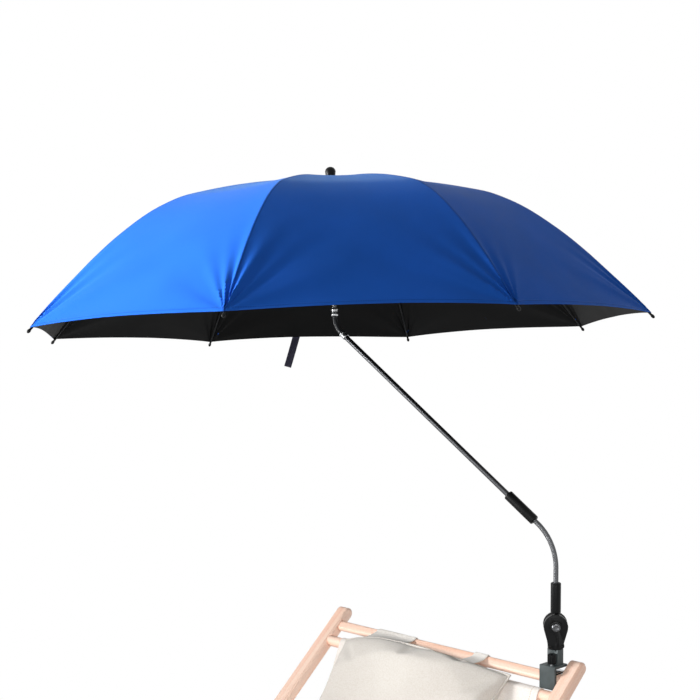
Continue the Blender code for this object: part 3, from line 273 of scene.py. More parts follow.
def thicken(piece, thickness):
    """Give a sheet its thickness, half on each side."""
    cloth = piece.modifiers.new("cloth_thickness", "SOLIDIFY")
    cloth.thickness = thickness
    cloth.offset = 0.0


def weave_height(tree, flat, pitch):
    """Height of a plain weave from the sewn size; it repeats at the pitch, which is two yarns."""
    waves = []
    for axis in (0, 1):
        turn = add(tree, "Math", {"operation": "MULTIPLY", 1: 2 * pi / pitch}, {0: flat.outputs[axis]})
        waves.append(add(tree, "Math", {"operation": "SINE"}, {0: turn}))
    return add(tree, "Math", {"operation": "MULTIPLY"}, {0: waves[0], 1: waves[1]})


def stitch_row(tree, off, along, line, thread, half_step):
    """1 on the stitches of a row at that line, 0 beside the row and in its gaps."""
    away = add(tree, "Math", {"operation": "SUBTRACT", 1: line}, {0: off})
    near = add(tree, "Math", {"operation": "ABSOLUTE"}, {0: away})
    row = add(tree, "Math", {"operation": "LESS_THAN", 1: thread}, {0: near})
    step = add(tree, "Math", {"operation": "PINGPONG", 1: half_step}, {0: along})
    dash = add(tree, "Math", {"operation": "GREATER_THAN", 1: thread}, {0: step})
    return add(tree, "Math", {"operation": "MULTIPLY"}, {0: row, 1: dash})


def canvas_cloth(name, tint, hem_line=None):
    """Cotton canvas; its weave and a hem's fold at that distance from the middle follow the sewn size."""
    made, tree, shader = finish(name, {"Roughness": 0.92, "Sheen Weight": 0.25, "Sheen Roughness": 0.5,
                                       "Specular IOR Level": 0.2})
    size = add(tree, "UVMap", {"uv_map": "sewn_size"})
    flat = add(tree, "SeparateXYZ", None, {0: size})
    # Yarns of 0.55 mm, close to their real size
    weave = weave_height(tree, flat, 0.0011)
    # Slubs 2.4 mm long in the yarn and faint clouds 111 mm across
    spot = add(tree, "TexCoord").outputs["Object"]
    slub = add(tree, "TexNoise", {"Scale": 420.0, "Detail": 3.0}, {"Vector": spot})
    patch = add(tree, "TexNoise", {"Scale": 9.0, "Detail": 4.0}, {"Vector": spot})
    tone = add(tree, "ValToRGB", None, {"Fac": patch}, [(0.30, tint[0]), (0.70, tint[1])])
    yarn = add(tree, "ValToRGB", None, {"Fac": slub}, [(0.25, "#E6E0D6"), (0.60, "#FFFFFF")])
    colour = add(tree, "Mix", multiply | {0: 0.5}, {6: tone, 7: yarn}).outputs[2]
    height = add(tree, "Math", {"operation": "MULTIPLY_ADD", 1: 0.35}, {0: weave, 2: slub})
    if hem_line:
        side = add(tree, "Math", {"operation": "ABSOLUTE"}, {0: flat.outputs[0]})
        fold = add(tree, "MapRange", {"From Min": hem_line - hem_step, "From Max": hem_line + hem_step},
                   {"Value": side})
        raised = add(tree, "Math", {"operation": "MULTIPLY_ADD", 1: 1.6}, {0: fold, 2: height})
        # Stitches of 1.2 mm thread, 2.8 mm long and 4 mm apart, in a row 2 mm inside the hem's fold
        stitch = stitch_row(tree, side, flat.outputs[1], hem_line + 0.002, 0.0006, 0.002)
        height = add(tree, "Math", {"operation": "MULTIPLY_ADD", 1: -1.2}, {0: stitch, 2: raised})
        colour = add(tree, "Mix", multiply | {7: linear("#D6CCBC")}, {0: stitch, 6: colour}).outputs[2]
    relief = add(tree, "Bump", {"Strength": 0.5, "Distance": 0.00035}, {"Height": height})
    wire(shader, {"Base Color": colour, "Normal": relief})
    return made


def tube_turn(centre, ahead, over, radius, reach):
    """The canvas round a dowel in the side view, from one tangent to the other."""
    start = -acos(radius / reach)
    end = -2 * pi - start
    turns = [start + (end - start) * step / tube_steps for step in range(tube_steps + 1)]
    return [centre + radius * (cos(turn) * ahead + sin(turn) * over) for turn in turns]


chord = front_dowel - top_dowel
shares = [step / sling_steps for step in range(sling_steps + 1)]
hang = [top_dowel + chord * share - up * 4 * sling_sag * share * (1 - share) for share in shares]
body = [place for place in hang if min((place - top_dowel).length, (place - front_dowel).length) > tube_reach]
line = []
for centre, near, far, way in ((top_dowel, body[0], body[1], 1), (front_dowel, body[-1], body[-2], -1)):
    ahead = (near - centre).normalized()
    over = Vector((0, -ahead.z, ahead.y)) * way
    under = -over * (canvas_thick + tail_gap)
    tube = [far + under * tail_drop, near + under]
    tube += tube_turn(centre, ahead, over, dowel_radius + canvas_thick / 2 + tube_gap, (near - centre).length)
    line += tube + body if way > 0 else tube[::-1]
lengths = [0.0]
for before, place in zip(line, line[1:]):
    lengths.append(lengths[-1] + (place - before).length)
sling_points = []
sling_uv = []
for place, run in zip(line, lengths):
    for step in range(sling_columns):
        side = sling_width * (step / (sling_columns - 1) - 0.5)
        drape = drape_depth * sin(run * drape_turns[0] + side * drape_turns[1])
        drape *= (2 * side / sling_width) ** 2
        free = min(1.0, max(0.0, (min(run, lengths[-1] - run) - taut_end) / taut_fade))
        sling_points.append(place + across * (side + sling_shift) + up * drape * free)
        sling_uv.append((side, run))
canvas_sling = canvas_cloth("woven_cotton_canvas_sling", ("#E6DFD9", "#EFE9E4"), sling_width / 2 - hem_wide)
sling = mesh_piece("canvas_sling", sling_points, grid_faces(len(line), sling_columns), canvas_sling, sling_uv)
thicken(sling, canvas_thick)
ease_normals(sling)
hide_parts("sling")
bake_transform(sling)

# Headrest pillow: a soft canvas cushion on the sling, held by two straps sewn round the crossbar.
# The same canvas, coloured darker than the sling as painted shade against the strong lamp light on the
# pillow; lightly filled, with a flat piped seam round its edge.
# Filled by simulation: pressure from inside swells the two sewn faces and draws the sides in.
pillow_width = 0.372
pillow_length = 0.232
pillow_thick = 0.040
pillow_lean = radians(54.0)
pillow_drop = 0.016
pillow_lift = 0.033
pillow_shift = -0.010
side_draw = 0.030
strap_pull = (0.0110, 0.0050)
left_droop = (-0.0190, -0.0126)
right_droop = (-0.0098, -0.0100)
pillow_columns = 74
pillow_rows = 46
air_pressure = 4.0
swell_limit = 0.012
piping_radius = 0.0021
pillow_way = Vector((0, cos(pillow_lean), sin(pillow_lean)))
pillow_face = across.cross(pillow_way)
pillow_head = bar_middle - pillow_way * pillow_drop + pillow_face * pillow_lift + across * pillow_shift
pillow_centre = pillow_head - pillow_way * pillow_length / 2


def head_pull(along_x):
    """How far the straps pull the upper seam up and forward; its corners droop on to the sling."""
    droop, power = (left_droop, 3.0) if along_x < 0 else (right_droop, 1.5)
    return [pull + drop * abs(along_x) ** power for pull, drop in zip(strap_pull, droop)]


def pillow_spot(along_x, along_y, layer):
    """A point of the sewn pillow before filling; layer is 1 on top, -1 below and 0 on the seam."""
    full = (1 - abs(along_x) ** 5) ** 0.5 * (1 - abs(along_y) ** 4) ** 0.5
    draw_x = 1 - side_draw * (1 - along_y ** 2) * abs(along_x)
    draw_y = 1 - side_draw * (1 - along_x ** 2) * abs(along_y) * (along_y < 0)
    pull, lift = head_pull(along_x)
    near_head = ((1 + along_y) / 2) ** 2
    return (pillow_centre + across * along_x * draw_x * pillow_width / 2
            + pillow_way * (along_y * draw_y * pillow_length / 2 + pull * near_head)
            + pillow_face * (layer * full * pillow_thick / 2 + lift * near_head))


def pillow_key(layer, row, step):
    """A point's key; both faces share the points of the seam."""
    on_seam = row in (0, pillow_rows) or step in (0, pillow_columns)
    return (0 if on_seam else layer, row, step)


pillow_points = []
pillow_uv = []
pillow_faces = []
spot_of = {}
for layer in (1, -1):
    for row in range(pillow_rows + 1):
        for step in range(pillow_columns + 1):
            key = pillow_key(layer, row, step)
            if key not in spot_of:
                spot_of[key] = len(pillow_points)
                along_x = 2 * step / pillow_columns - 1
                along_y = 2 * row / pillow_rows - 1
                pillow_points.append(pillow_spot(along_x, along_y, key[0]))
                pillow_uv.append((along_x * pillow_width / 2, along_y * pillow_length / 2))
for layer in (1, -1):
    for row in range(pillow_rows):
        for step in range(pillow_columns):
            places = ((row, step), (row, step + 1), (row + 1, step + 1), (row + 1, step))
            corners = [spot_of[pillow_key(layer, *place)] for place in places]
            pillow_faces.append(tuple(corners[::layer]))
# Darker tints than the sling's canvas: painted shade on the pillow and its piping.
pillow_canvas_painted_shade = canvas_cloth("woven_cotton_pillow_canvas_painted_shade", ("#D1CBC4", "#DBD6CF"))
pillow = mesh_piece("headrest_cushion", pillow_points, pillow_faces, pillow_canvas_painted_shade, pillow_uv)


def fill_with_pressure(piece, pressure, limit, frames=20):
    """Cloth under pressure, capped so that no point moves further than the limit."""
    rest = [vert.co.copy() for vert in piece.data.vertices]
    cloth = piece.modifiers.new("filling", "CLOTH")
    for key, value in {"quality": 6, "mass": 0.25, "tension_stiffness": 25, "compression_stiffness": 25,
                       "shear_stiffness": 8, "bending_stiffness": 0.6, "use_pressure": True,
                       "uniform_pressure_force": pressure}.items():
        setattr(cloth.settings, key, value)
    cloth.settings.effector_weights.gravity = 0
    for step in range(1, frames + 1):
        bpy.context.scene.frame_set(step)
    graph = bpy.context.evaluated_depsgraph_get()
    swollen = [vert.co.copy() for vert in piece.evaluated_get(graph).data.vertices]
    piece.modifiers.remove(cloth)
    bpy.context.scene.frame_set(1)
    for vert, start, end in zip(piece.data.vertices, rest, swollen):
        moved = end - start
        if moved.length > limit:
            moved *= limit / moved.length
        vert.co = start + moved
    piece.data.update()


def soften(piece, levels):
    """Subdivide a soft piece's surface."""
    fullness = piece.modifiers.new("soft_surface", "SUBSURF")
    fullness.levels = levels
    fullness.render_levels = levels


def seam_points(places):
    """The filled pillow's points at (row, step) places of its seam."""
    return [pillow.data.vertices[spot_of[(0, *place)]].co.copy() for place in places]


fill_with_pressure(pillow, air_pressure, swell_limit)
rim = seam_points([(0, step) for step in range(pillow_columns)] +
                  [(row, pillow_columns) for row in range(pillow_rows)] +
                  [(pillow_rows, step) for step in range(pillow_columns, 0, -1)] +
                  [(row, 0) for row in range(pillow_rows, 0, -1)])
upper_seam = seam_points([(pillow_rows, step) for step in range(pillow_columns + 1)])
soften(pillow, 1)
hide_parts("headrest_pillow")
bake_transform(pillow)


def sweep(name, path, radii, sides, material, closed=False, flat=1.0, lift=up):
    """A tube along a path; flat is its height over its width towards lift."""
    count = len(path)
    points = []
    uv = []
    run = 0.0
    for index, place in enumerate(path):
        before = path[index - 1] if index or closed else path[0]
        after = path[(index + 1) % count] if index < count - 1 or closed else path[-1]
        way = (after - before).normalized()
        out = lift - way * lift.dot(way)
        if out.length < 0.01:
            out = across - way * across.dot(way)
        out.normalize()
        side = way.cross(out)
        radius = radii[index] if isinstance(radii, list) else radii
        if index:
            run += (place - path[index - 1]).length
        for step in range(sides):
            turn = 2 * pi * step / sides
            points.append(place + radius * (side * cos(turn) + out * sin(turn) * flat))
            uv.append((radius * turn, run))
    faces = []
    for row in range(count if closed else count - 1):
        for step in range(sides):
            ahead = (row + 1) % count
            faces.append((row * sides + step, row * sides + (step + 1) % sides,
                          ahead * sides + (step + 1) % sides, ahead * sides + step))
    if not closed:
        faces.append(tuple(range(sides))[::-1])
        faces.append(tuple((count - 1) * sides + step for step in range(sides)))
    return mesh_piece(name, points, faces, material, uv)


piping = sweep("pillow_piping", rim, piping_radius, 8, pillow_canvas_painted_shade, closed=True, flat=0.75,
               lift=pillow_face)
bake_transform(piping)

# The two pillow straps: a wide band on the left and a narrow one on the right.
# Folded bands of the same canvas, coloured paler than the pillow: painted light that stands in for lamp light
# their upturned faces don't get.
# Each one is sewn into the pillow's upper seam, wraps the crossbar and comes back to the seam.
strap_thick = 0.0018
strap_spans = (("left", -0.1104, 0.092), ("right", 0.0830, 0.029))
strap_column = 0.006
strap_tuck = 0.006
strap_half_gap = (0.0012, 0.0014)
strap_rise = 0.0018
strap_turn = 0.004
strap_corner = 0.0012
strap_slack = 0.002
near_edge_share = 0.55
bar_half_wide = 0.009
bar_half_thick = 0.006
bar_gap = 0.0004


def bar_spot(along, front):
    return bar_middle + rail_way * along + rail_front * front


def seam_spot(x):
    """The filled pillow's upper seam at that x of the frame."""
    near = sum(place.x < x for place in upper_seam)
    left, right = upper_seam[near - 1], upper_seam[near]
    return left.lerp(right, (x - left.x) / (right.x - left.x))


reach = bar_half_wide + strap_thick / 2 + bar_gap
high = bar_half_thick + strap_thick / 2 + bar_gap
cuts = [(strap_turn, 0.0), (strap_corner, strap_corner), (0.0, strap_turn)]
# The band's ends are pairs of steps from the seam, and the turns round the bar are points at its middle
loop = [(-strap_tuck, strap_half_gap[0]), (0.0, strap_half_gap[1])]
loop.append(bar_spot(-reach * near_edge_share, high + strap_rise))
for right, over, order in ((1, 1, cuts), (1, -1, cuts[::-1]), (-1, -1, cuts)):
    loop += [bar_spot(right * (reach - along), over * (high - off)) for along, off in order]
loop.append(bar_spot(-reach - strap_slack, high - strap_slack))
loop += [(0.0, -strap_half_gap[1]), (-strap_tuck, -strap_half_gap[0])]
# The straps' paler tints are painted light: a lighter copy of the pillow's canvas.
strap_canvas_painted_light = canvas_cloth("woven_cotton_strap_canvas_painted_light", ("#F0EBE4", "#F8F5F0"))
for side_name, centre_x, wide in strap_spans:
    strap_steps = max(6, int(wide / strap_column))
    strap_points = []
    strap_uv = []
    run = 0.0
    for index, place in enumerate(loop):
        row = []
        for step in range(strap_steps + 1):
            x = centre_x + wide * (step / strap_steps - 0.5)
            if isinstance(place, tuple):
                row.append(seam_spot(bar_middle.x + x) + pillow_way * place[0] + pillow_face * place[1])
            else:
                row.append(place + across * x)
        centre = row[strap_steps // 2]
        run += (centre - before).length if index else 0.0
        before = centre
        strap_points += row
        strap_uv += [(spot.x - bar_middle.x - centre_x, run) for spot in row]
    strap = mesh_piece("pillow_strap_" + side_name, strap_points, grid_faces(len(loop), strap_steps + 1),
                       strap_canvas_painted_light, strap_uv)
    thicken(strap, strap_thick)
    soften(strap, 2)
    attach(strap, "back_frame")

# Clamp on the crossbar: a grey moulded body with rubber-lined jaws and a fluted black knob.
# Glass-filled nylon, moulded: a fine spark-eroded grain and edges rubbed paler.
# The knob's steel screw presses the upper jaw down on the bar.


def clouds(tree, spot, per_metre, detail, tones, limits):
    """A tone and a roughness that vary together in clouds, so many to a metre."""
    cloud = add(tree, "TexNoise", {"Scale": per_metre, "Detail": detail}, {"Vector": spot})
    tone = add(tree, "ValToRGB", None, {"Fac": cloud}, [(0.3, tones[0]), (0.7, tones[1])])
    return tone, add(tree, "MapRange", {"To Min": limits[0], "To Max": limits[1]}, {"Value": cloud})


def moulded(name, colour, rubbed, roughness, gloss):
    """Moulded plastic with a fine grain; edges rubbed paler."""
    made, tree, shader = finish(name, {"Specular IOR Level": gloss})
    spot = add(tree, "TexCoord").outputs["Object"]
    # Grain of 0.2 mm drawn at 0.7 mm so that it shows, and clouds 17 mm across
    cells = add(tree, "TexNoise", {"Scale": 1 / 0.0007, "Detail": 2.0}, {"Vector": spot})
    tone, rough = clouds(tree, spot, 60.0, 4.0, colour, (roughness - 0.08, roughness + 0.10))
    edge = add(tree, "MapRange", {"From Min": 0.99, "From Max": 0.80, "To Max": 0.5},
               {"Value": worn_edge(tree, 0.0012)})
    tinted = add(tree, "Mix", {"data_type": "RGBA", 7: linear(rubbed)}, {0: edge, 6: tone}).outputs[2]
    relief = add(tree, "Bump", {"Strength": 0.18, "Distance": 0.00015}, {"Height": cells})
    wire(shader, {"Base Color": tinted, "Roughness": rough, "Normal": relief})
    return made


grey_nylon = moulded("moulded_grey_nylon", ("#3A4142", "#4A5253"), "#6B7475", 0.46, 0.30)
black_nylon = moulded("moulded_black_nylon", ("#060708", "#0B0C0D"), "#1C1E20", 0.36, 0.14)
jaw_rubber = moulded("moulded_rubber", ("#121212", "#1A1A1A"), "#262626", 0.80, 0.15)
carry(["clamp_body"], grey_nylon, 0.0007, 3)
carry(["fixed_jaw_liner", "slider_liner"], jaw_rubber, 0.0003)
carry(["clamp_slider", "clamp_screw"], bright_steel, 0.0003)
carry(["clamp_knob"], black_nylon, 0.0003)

# Tilting head of the arm: a forked foot that swivels on the clamp, a tongue, a cross bolt and a lock lever.
# Black moulded nylon parts round a dark nickel-plated bolt with a dished head.
# The tongue's stub carries the lower sleeve.


def plated_steel(name, tones, roughness, per_metre, detail, metallic=1.0, turn=None, stretch=None):
    """Plated steel that varies in soft smears; with a turn they are stretched along the turned axes."""
    made, tree, shader = finish(name, {"Metallic": metallic})
    spot = add(tree, "TexCoord").outputs["Object"]
    if turn:
        spot = add(tree, "Mapping", {"Rotation": turn}, {"Vector": spot})
        spot = add(tree, "Mapping", {"Scale": stretch}, {"Vector": spot})
    tone, rough = clouds(tree, spot, per_metre, detail, tones, roughness)
    wire(shader, {"Base Color": tone, "Roughness": rough})
    return made


dark_nickel = plated_steel("dark_nickel_plated_steel", ("#515254", "#5E5F61"), (0.34, 0.42), 130.0, 4.0)
carry(["swivel_base", "lower_sleeve", "upper_sleeve"], black_nylon, 0.0008, 3)
carry(["tilt_head", "tilt_lever"], black_nylon, 0.0005)
carry(["tilt_bolt"], dark_nickel, 0.0002)

# Lower neck: a bendable hose of wound steel strip between the two sleeves.
# Dark nickel-plated strip wound in 1.6 mm turns, so that its surface is a row of fine round ridges.
# It holds the bend that a hand gives it.
neck_radius = 0.0041
ridge_shares = (0.96, 1.0, 1.0, 0.98)
turn_pitch = 0.0016
lower_bend_radius = 0.087
lower_leads = (0.023, 0.006)
lower_seat = 0.009
pole_way = Vector(joint_of["pole_twist"]["axis"]).normalized()
pole_out = Vector((pole_way.x, pole_way.y, 0)).normalized()
pole_lean = acos(pole_way.z)
neck_foot = middle("lower_sleeve")
neck_foot.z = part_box("lower_sleeve")[1].z


def bent_path(start, way, side, radius, bend, lead_in, lead_out):
    """Even points along a straight lead, an arc towards side and a straight lead, four to a turn."""
    whole = lead_in + radius * bend + lead_out
    count = int(whole / (turn_pitch / len(ridge_shares))) + 1
    corner = start + way * (lead_in + radius * sin(bend)) + side * radius * (1 - cos(bend))
    points = []
    for index in range(count + 1):
        run = whole * index / count
        if run <= lead_in:
            points.append(start + way * run)
        elif run <= lead_in + radius * bend:
            turn = (run - lead_in) / radius
            points.append(start + way * (lead_in + radius * sin(turn)) + side * radius * (1 - cos(turn)))
        else:
            points.append(corner + (way * cos(bend) + side * sin(bend)) * (run - lead_in - radius * bend))
    return points


def wound_hose(name, path, node, material):
    """Ridges a turn apart on a tube along the path."""
    radii = [neck_radius * ridge_shares[index % len(ridge_shares)] for index in range(len(path))]
    hose = sweep(name, path, radii, 20, material)
    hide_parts(node)
    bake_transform(hose)


lower_path = bent_path(neck_foot - up * lower_seat, up, pole_out, lower_bend_radius, pole_lean,
                       lower_leads[0] + lower_seat, lower_leads[1] + lower_seat)
wound_hose("lower_wound_neck", lower_path, "lower_neck", dark_nickel)

# Pole: a straight steel tube that turns in the upper sleeve, closed by a beaded ferrule.
# Dark nickel plating over drawn tube: clear reflections, streaked 17 mm wide and 333 mm along the draw.
# The ferrules are brighter, turned and polished.
pole_radius = 0.0045
pole_top_gap = 0.0240
pole_steps = 24
neck_middle = Vector(joint_of["upper_neck_bend"]["pos_m"])
pole_foot = Vector(joint_of["pole_twist"]["pos_m"])
pole_head = neck_middle - pole_way * pole_top_gap
drawn_tube = plated_steel("dark_nickel_plated_tube", ("#505153", "#58595C"), (0.30, 0.36), 1.0, 2.0,
                          turn=pole_way.rotation_difference(up).to_euler(), stretch=(60.0, 60.0, 3.0))
pole_path = [pole_foot.lerp(pole_head, step / pole_steps) for step in range(pole_steps + 1)]
pole = sweep("pole_tube", pole_path, pole_radius, 40, drawn_tube)
ease_normals(pole)
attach(pole, "pole_body")
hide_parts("pole")
carry(["pole_ferrule", "shaft_ferrule"], bright_steel, 0.0002)

# Upper neck: the short wound hose under the canopy's shaft.
# Painted grey strip, wound like the lower neck.
# It turns the canopy level whatever the pole's lean.
upper_bend_radius = 0.042
upper_seat = 0.0054
runner_way = Vector(joint_of["runner_slide"]["axis"]).normalized()
upper_bend = acos(pole_way.dot(runner_way))
upper_side = (runner_way - pole_way * pole_way.dot(runner_way)).normalized()
pole_end = neck_middle - pole_way * upper_bend_radius * tan(upper_bend / 2)
upper_path = bent_path(pole_end - pole_way * upper_seat, pole_way, upper_side, upper_bend_radius, upper_bend,
                       upper_seat, upper_seat)
painted_strip = moulded("grey_lacquered_strip", ("#2A2C2F", "#3A3C40"), "#7D8084", 0.35, 0.5)
wound_hose("upper_wound_neck", upper_path, "upper_neck", painted_strip)

# Shaft of the canopy with its crown, runner and finial.
# Bright plated tube; crown, runner and finial are black moulded nylon.
# The finial screws down on the cloth and clips it to the crown.
shaft_low = 0.0283
shaft_high = 0.2720
shaft_steps = 12
hinge_height = 0.2592
rib_numbers = [str(index + 1) for index in range(8)]
rib_hinges = [Vector(joint_of["rib_fold_" + number]["pos_m"]) for number in rib_numbers]
hub_middle = sum(rib_hinges, Vector()) / len(rib_hinges)
canopy_centre = hub_middle - runner_way * hinge_height
shaft_path = [canopy_centre + runner_way * (shaft_low + (shaft_high - shaft_low) * step / shaft_steps)
              for step in range(shaft_steps + 1)]
shaft = sweep("shaft_tube", shaft_path, pole_radius, 40, bright_steel, lift=across)
ease_normals(shaft)
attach(shaft, "hub")
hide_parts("shaft")
carry(["crown", "runner", "finial"], black_nylon, 0.0003)
carry(["catch_button"], grey_nylon, 0.0003)

# Canopy: eight gores of blue pongee cut from rib to rib, with a black coating on the inside.
# Close polyester weave with a satin sheen; sewn seams along the ribs, a narrow hem, and gathers at each tip.
# Each rib carries the cloth on its two sides as far as the middle of the gores, and folds it with itself.
canopy_radius = 0.5465
canopy_height = 0.2620
crown_hole = 0.0056
hem_lift = 0.0060
gore_sag = 0.0035
pongee_thick = 0.0005
gore_angle = pi / 4
panel_rows = 60
panel_half = 46
row_crowding = 1.5
column_crowding = 1.9
# Pleats and softer folds fan out from each tip: their depths, rise, reach and spread
pleat_depth = 0.0040
pleat_rise = 0.010
pleat_reach = 0.105
pleat_fan = 0.60
pleat_out_share = 0.45
pleat_up_share = 0.8
fold_depth = 0.0016
fold_rise = 0.030
fold_reach = 0.170
fold_turn_share = 0.36
seam_fan = 0.08
calm_middle_share = 0.08
far_side_share = 0.6
pleat_turns = ((20.6, 0.3), (22.8, 1.1), (19.8, 2.0), (21.2, 0.7), (22.0, 1.6), (20.0, 0.1), (21.6, 2.4),
               (20.9, 1.3))
rib_line_shares = ((0.000, 1.000), (0.160, 0.987), (0.320, 0.942), (0.480, 0.868), (0.539, 0.827),
                   (0.629, 0.729), (0.729, 0.576), (0.804, 0.438), (0.867, 0.307), (0.930, 0.170),
                   (1.000, 0.011))
first_way = (rib_hinges[0] - hub_middle).normalized()
second_way = runner_way.cross(first_way)


def seam_height(radius):
    """The seam's height over the plane of the tips, on a smooth line through the rib's stations."""
    share = min(1.0, radius / canopy_radius)
    line = rib_line_shares
    index = max(step for step in range(len(line) - 1) if line[step][0] <= share)
    slopes = []
    for step in (index, index + 1):
        low = line[max(step - 1, 0)]
        high = line[min(step + 1, len(line) - 1)]
        slopes.append(0.0 if step == 0 else (high[1] - low[1]) / (high[0] - low[0]))
    (start, first), (end, second) = line[index], line[index + 1]
    span = end - start
    part = (share - start) / span
    ease = 3 * part ** 2 - 2 * part ** 3
    height = (1 - ease) * first + (part ** 3 - 2 * part ** 2 + part) * span * slopes[0]
    height += ease * second + (part ** 3 - part ** 2) * span * slopes[1]
    return height * canopy_height


def rib_heading(index):
    return first_way * cos(gore_angle * index) + second_way * sin(gore_angle * index)


def canopy_spot(index, reach, height):
    """A point of the canopy at a rib's number, or between two, from its reach and height."""
    return canopy_centre + rib_heading(index) * reach + runner_way * height


def pongee(name):
    """Blue pongee; seams and hem come from the sewn size: across from the rib and up from the hem."""
    made, tree, shader = finish(name, {"Specular IOR Level": 0.03, "Sheen Weight": 0.10,
                                       "Sheen Roughness": 0.35, "Sheen Tint": linear("#A8E8FF")})
    size = add(tree, "UVMap", {"uv_map": "sewn_size"})
    flat = add(tree, "SeparateXYZ", None, {0: size})
    up_from_hem = flat.outputs[1]
    # Faint clouds 143 mm across; threads of 0.15 mm drawn at 0.45 mm, so that they show
    spot = add(tree, "TexCoord").outputs["Object"]
    tone, rough = clouds(tree, spot, 7.0, 3.0, ("#2263CC", "#2669DA"), (0.50, 0.58))
    weave = weave_height(tree, flat, 0.0009)
    side = add(tree, "Math", {"operation": "ABSOLUTE"}, {0: flat.outputs[0]})
    # Felled seam 5 mm wide over the rib with a groove down its middle, and a hem 8 mm deep
    seam, groove, fold = [add(tree, "MapRange", {"From Min": outer, "From Max": inner}, {"Value": off})
                          for off, outer, inner in ((side, 0.0028, 0.0022), (side, 0.0007, 0.0003),
                                                    (up_from_hem, 0.0082, 0.0076))]
    # Stitches 2.2 mm long on both sides of the seam's middle and along the hem
    beside_rib = stitch_row(tree, side, up_from_hem, 0.0018, 0.0005, 0.0016)
    along_hem = stitch_row(tree, up_from_hem, flat.outputs[0], 0.0060, 0.0005, 0.0016)
    stitches = add(tree, "Math", {"operation": "MAXIMUM"}, {0: beside_rib, 1: along_hem})
    # The stitches are darker thread; the seam's middle groove is painted darker, painted shade in the crease.
    dark = add(tree, "Math", {"operation": "MAXIMUM"}, {0: stitches, 1: groove})
    thread_and_groove_shade = add(tree, "Math", {"operation": "MULTIPLY", 1: 0.6}, {0: dark})
    colour = add(tree, "Mix", {"data_type": "RGBA", 7: linear("#0E2B66")}, {0: thread_and_groove_shade, 6: tone})
    raised = add(tree, "Math", {"operation": "MAXIMUM"}, {0: seam, 1: fold})
    height = add(tree, "Math", {"operation": "MULTIPLY_ADD", 1: 0.10}, {0: weave, 2: raised})
    sunk = add(tree, "Math", {"operation": "SUBTRACT"}, {0: height, 1: dark})
    relief = add(tree, "Bump", {"Strength": 0.5, "Distance": 0.0004}, {"Height": sunk})
    wire(shader, {"Base Color": colour.outputs[2], "Roughness": rough, "Normal": relief})
    return made


def shade_coating(name):
    """Matt black coating with clouds 71 mm across; its grit of 0.1 mm is drawn at 0.56 mm to show."""
    made, tree, shader = finish(name, {"Specular IOR Level": 0.15})
    spot = add(tree, "TexCoord").outputs["Object"]
    tone, rough = clouds(tree, spot, 14.0, 5.0, ("#08090A", "#0F1011"), (0.62, 0.78))
    grit = add(tree, "TexNoise", {"Scale": 1800.0, "Detail": 1.0}, {"Vector": spot})
    relief = add(tree, "Bump", {"Strength": 0.12, "Distance": 0.0001}, {"Height": grit})
    wire(shader, {"Base Color": tone, "Roughness": rough, "Normal": relief})
    return made


def gathers(turn, side, down, turns, phase):
    """How far the pleats and soft folds that fan out from a rib's tip lift the cloth there."""
    tip = hypot(side, down)
    spread = atan2(abs(side), max(down, 1e-6))
    calm = min(1.0, max(0.0, (gore_angle / 2 - abs(turn)) / (gore_angle * calm_middle_share)))
    start = calm * min(1.0, spread / seam_fan)
    pleat = (1 - exp(-tip / pleat_rise)) * exp(-(tip / pleat_reach) ** 2) * exp(-(spread / pleat_fan) ** 2)
    drag = (1 - exp(-tip / fold_rise)) * exp(-(tip / fold_reach) ** 2)
    if turn <= 0:
        phase *= far_side_share
    return start * (pleat_depth * pleat * cos(turns * spread + phase)
                    + fold_depth * drag * cos(turns * fold_turn_share * spread + 2 * phase))


blue_pongee = pongee("woven_blue_pongee")
black_coating = shade_coating("black_shade_coating")
rows = [crown_hole + (canopy_radius - crown_hole) * (1 - (1 - row / panel_rows) ** row_crowding)
        for row in range(panel_rows + 1)]
meridian = [0.0]
for inner, outer in zip(rows, rows[1:]):
    meridian.append(meridian[-1] + hypot(outer - inner, seam_height(outer) - seam_height(inner)))
panel_faces = [face[::-1] for face in grid_faces(panel_rows + 1, 2 * panel_half + 1)]
for index, number in enumerate(rib_numbers):
    panel_points = []
    panel_uv = []
    for row, radius in enumerate(rows):
        down = meridian[-1] - meridian[row]
        for step in range(-panel_half, panel_half + 1):
            turn = gore_angle / 2 * (abs(step) / panel_half) ** column_crowding * (1 if step > 0 else -1)
            part = abs(turn) / gore_angle
            reach = radius * cos(gore_angle / 2) / cos(abs(turn) - gore_angle / 2)
            bow = 4 * part * (1 - part)
            height = seam_height(radius) + hem_lift * bow * (radius / canopy_radius) ** 4
            height -= gore_sag * bow * sin(pi * radius / canopy_radius)
            side = reach * sin(turn)
            fold = gathers(turn, side, down, *pleat_turns[index])
            place = index + turn / gore_angle
            panel_points.append(canopy_spot(place, reach + fold * pleat_out_share,
                                            height + fold * pleat_up_share))
            panel_uv.append((side, down))
    panel = mesh_piece("canopy_gore_pair_" + number, panel_points, panel_faces, blue_pongee, panel_uv)
    panel.data.materials.append(black_coating)
    shell = panel.modifiers.new("pongee_thickness", "SOLIDIFY")
    shell.thickness = pongee_thick
    shell.offset = -1.0
    shell.material_offset = 1
    shell.material_offset_rim = 0
    ease_normals(panel)
    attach(panel, "rib_body_" + number)
    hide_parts("canopy")
    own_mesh(panel)

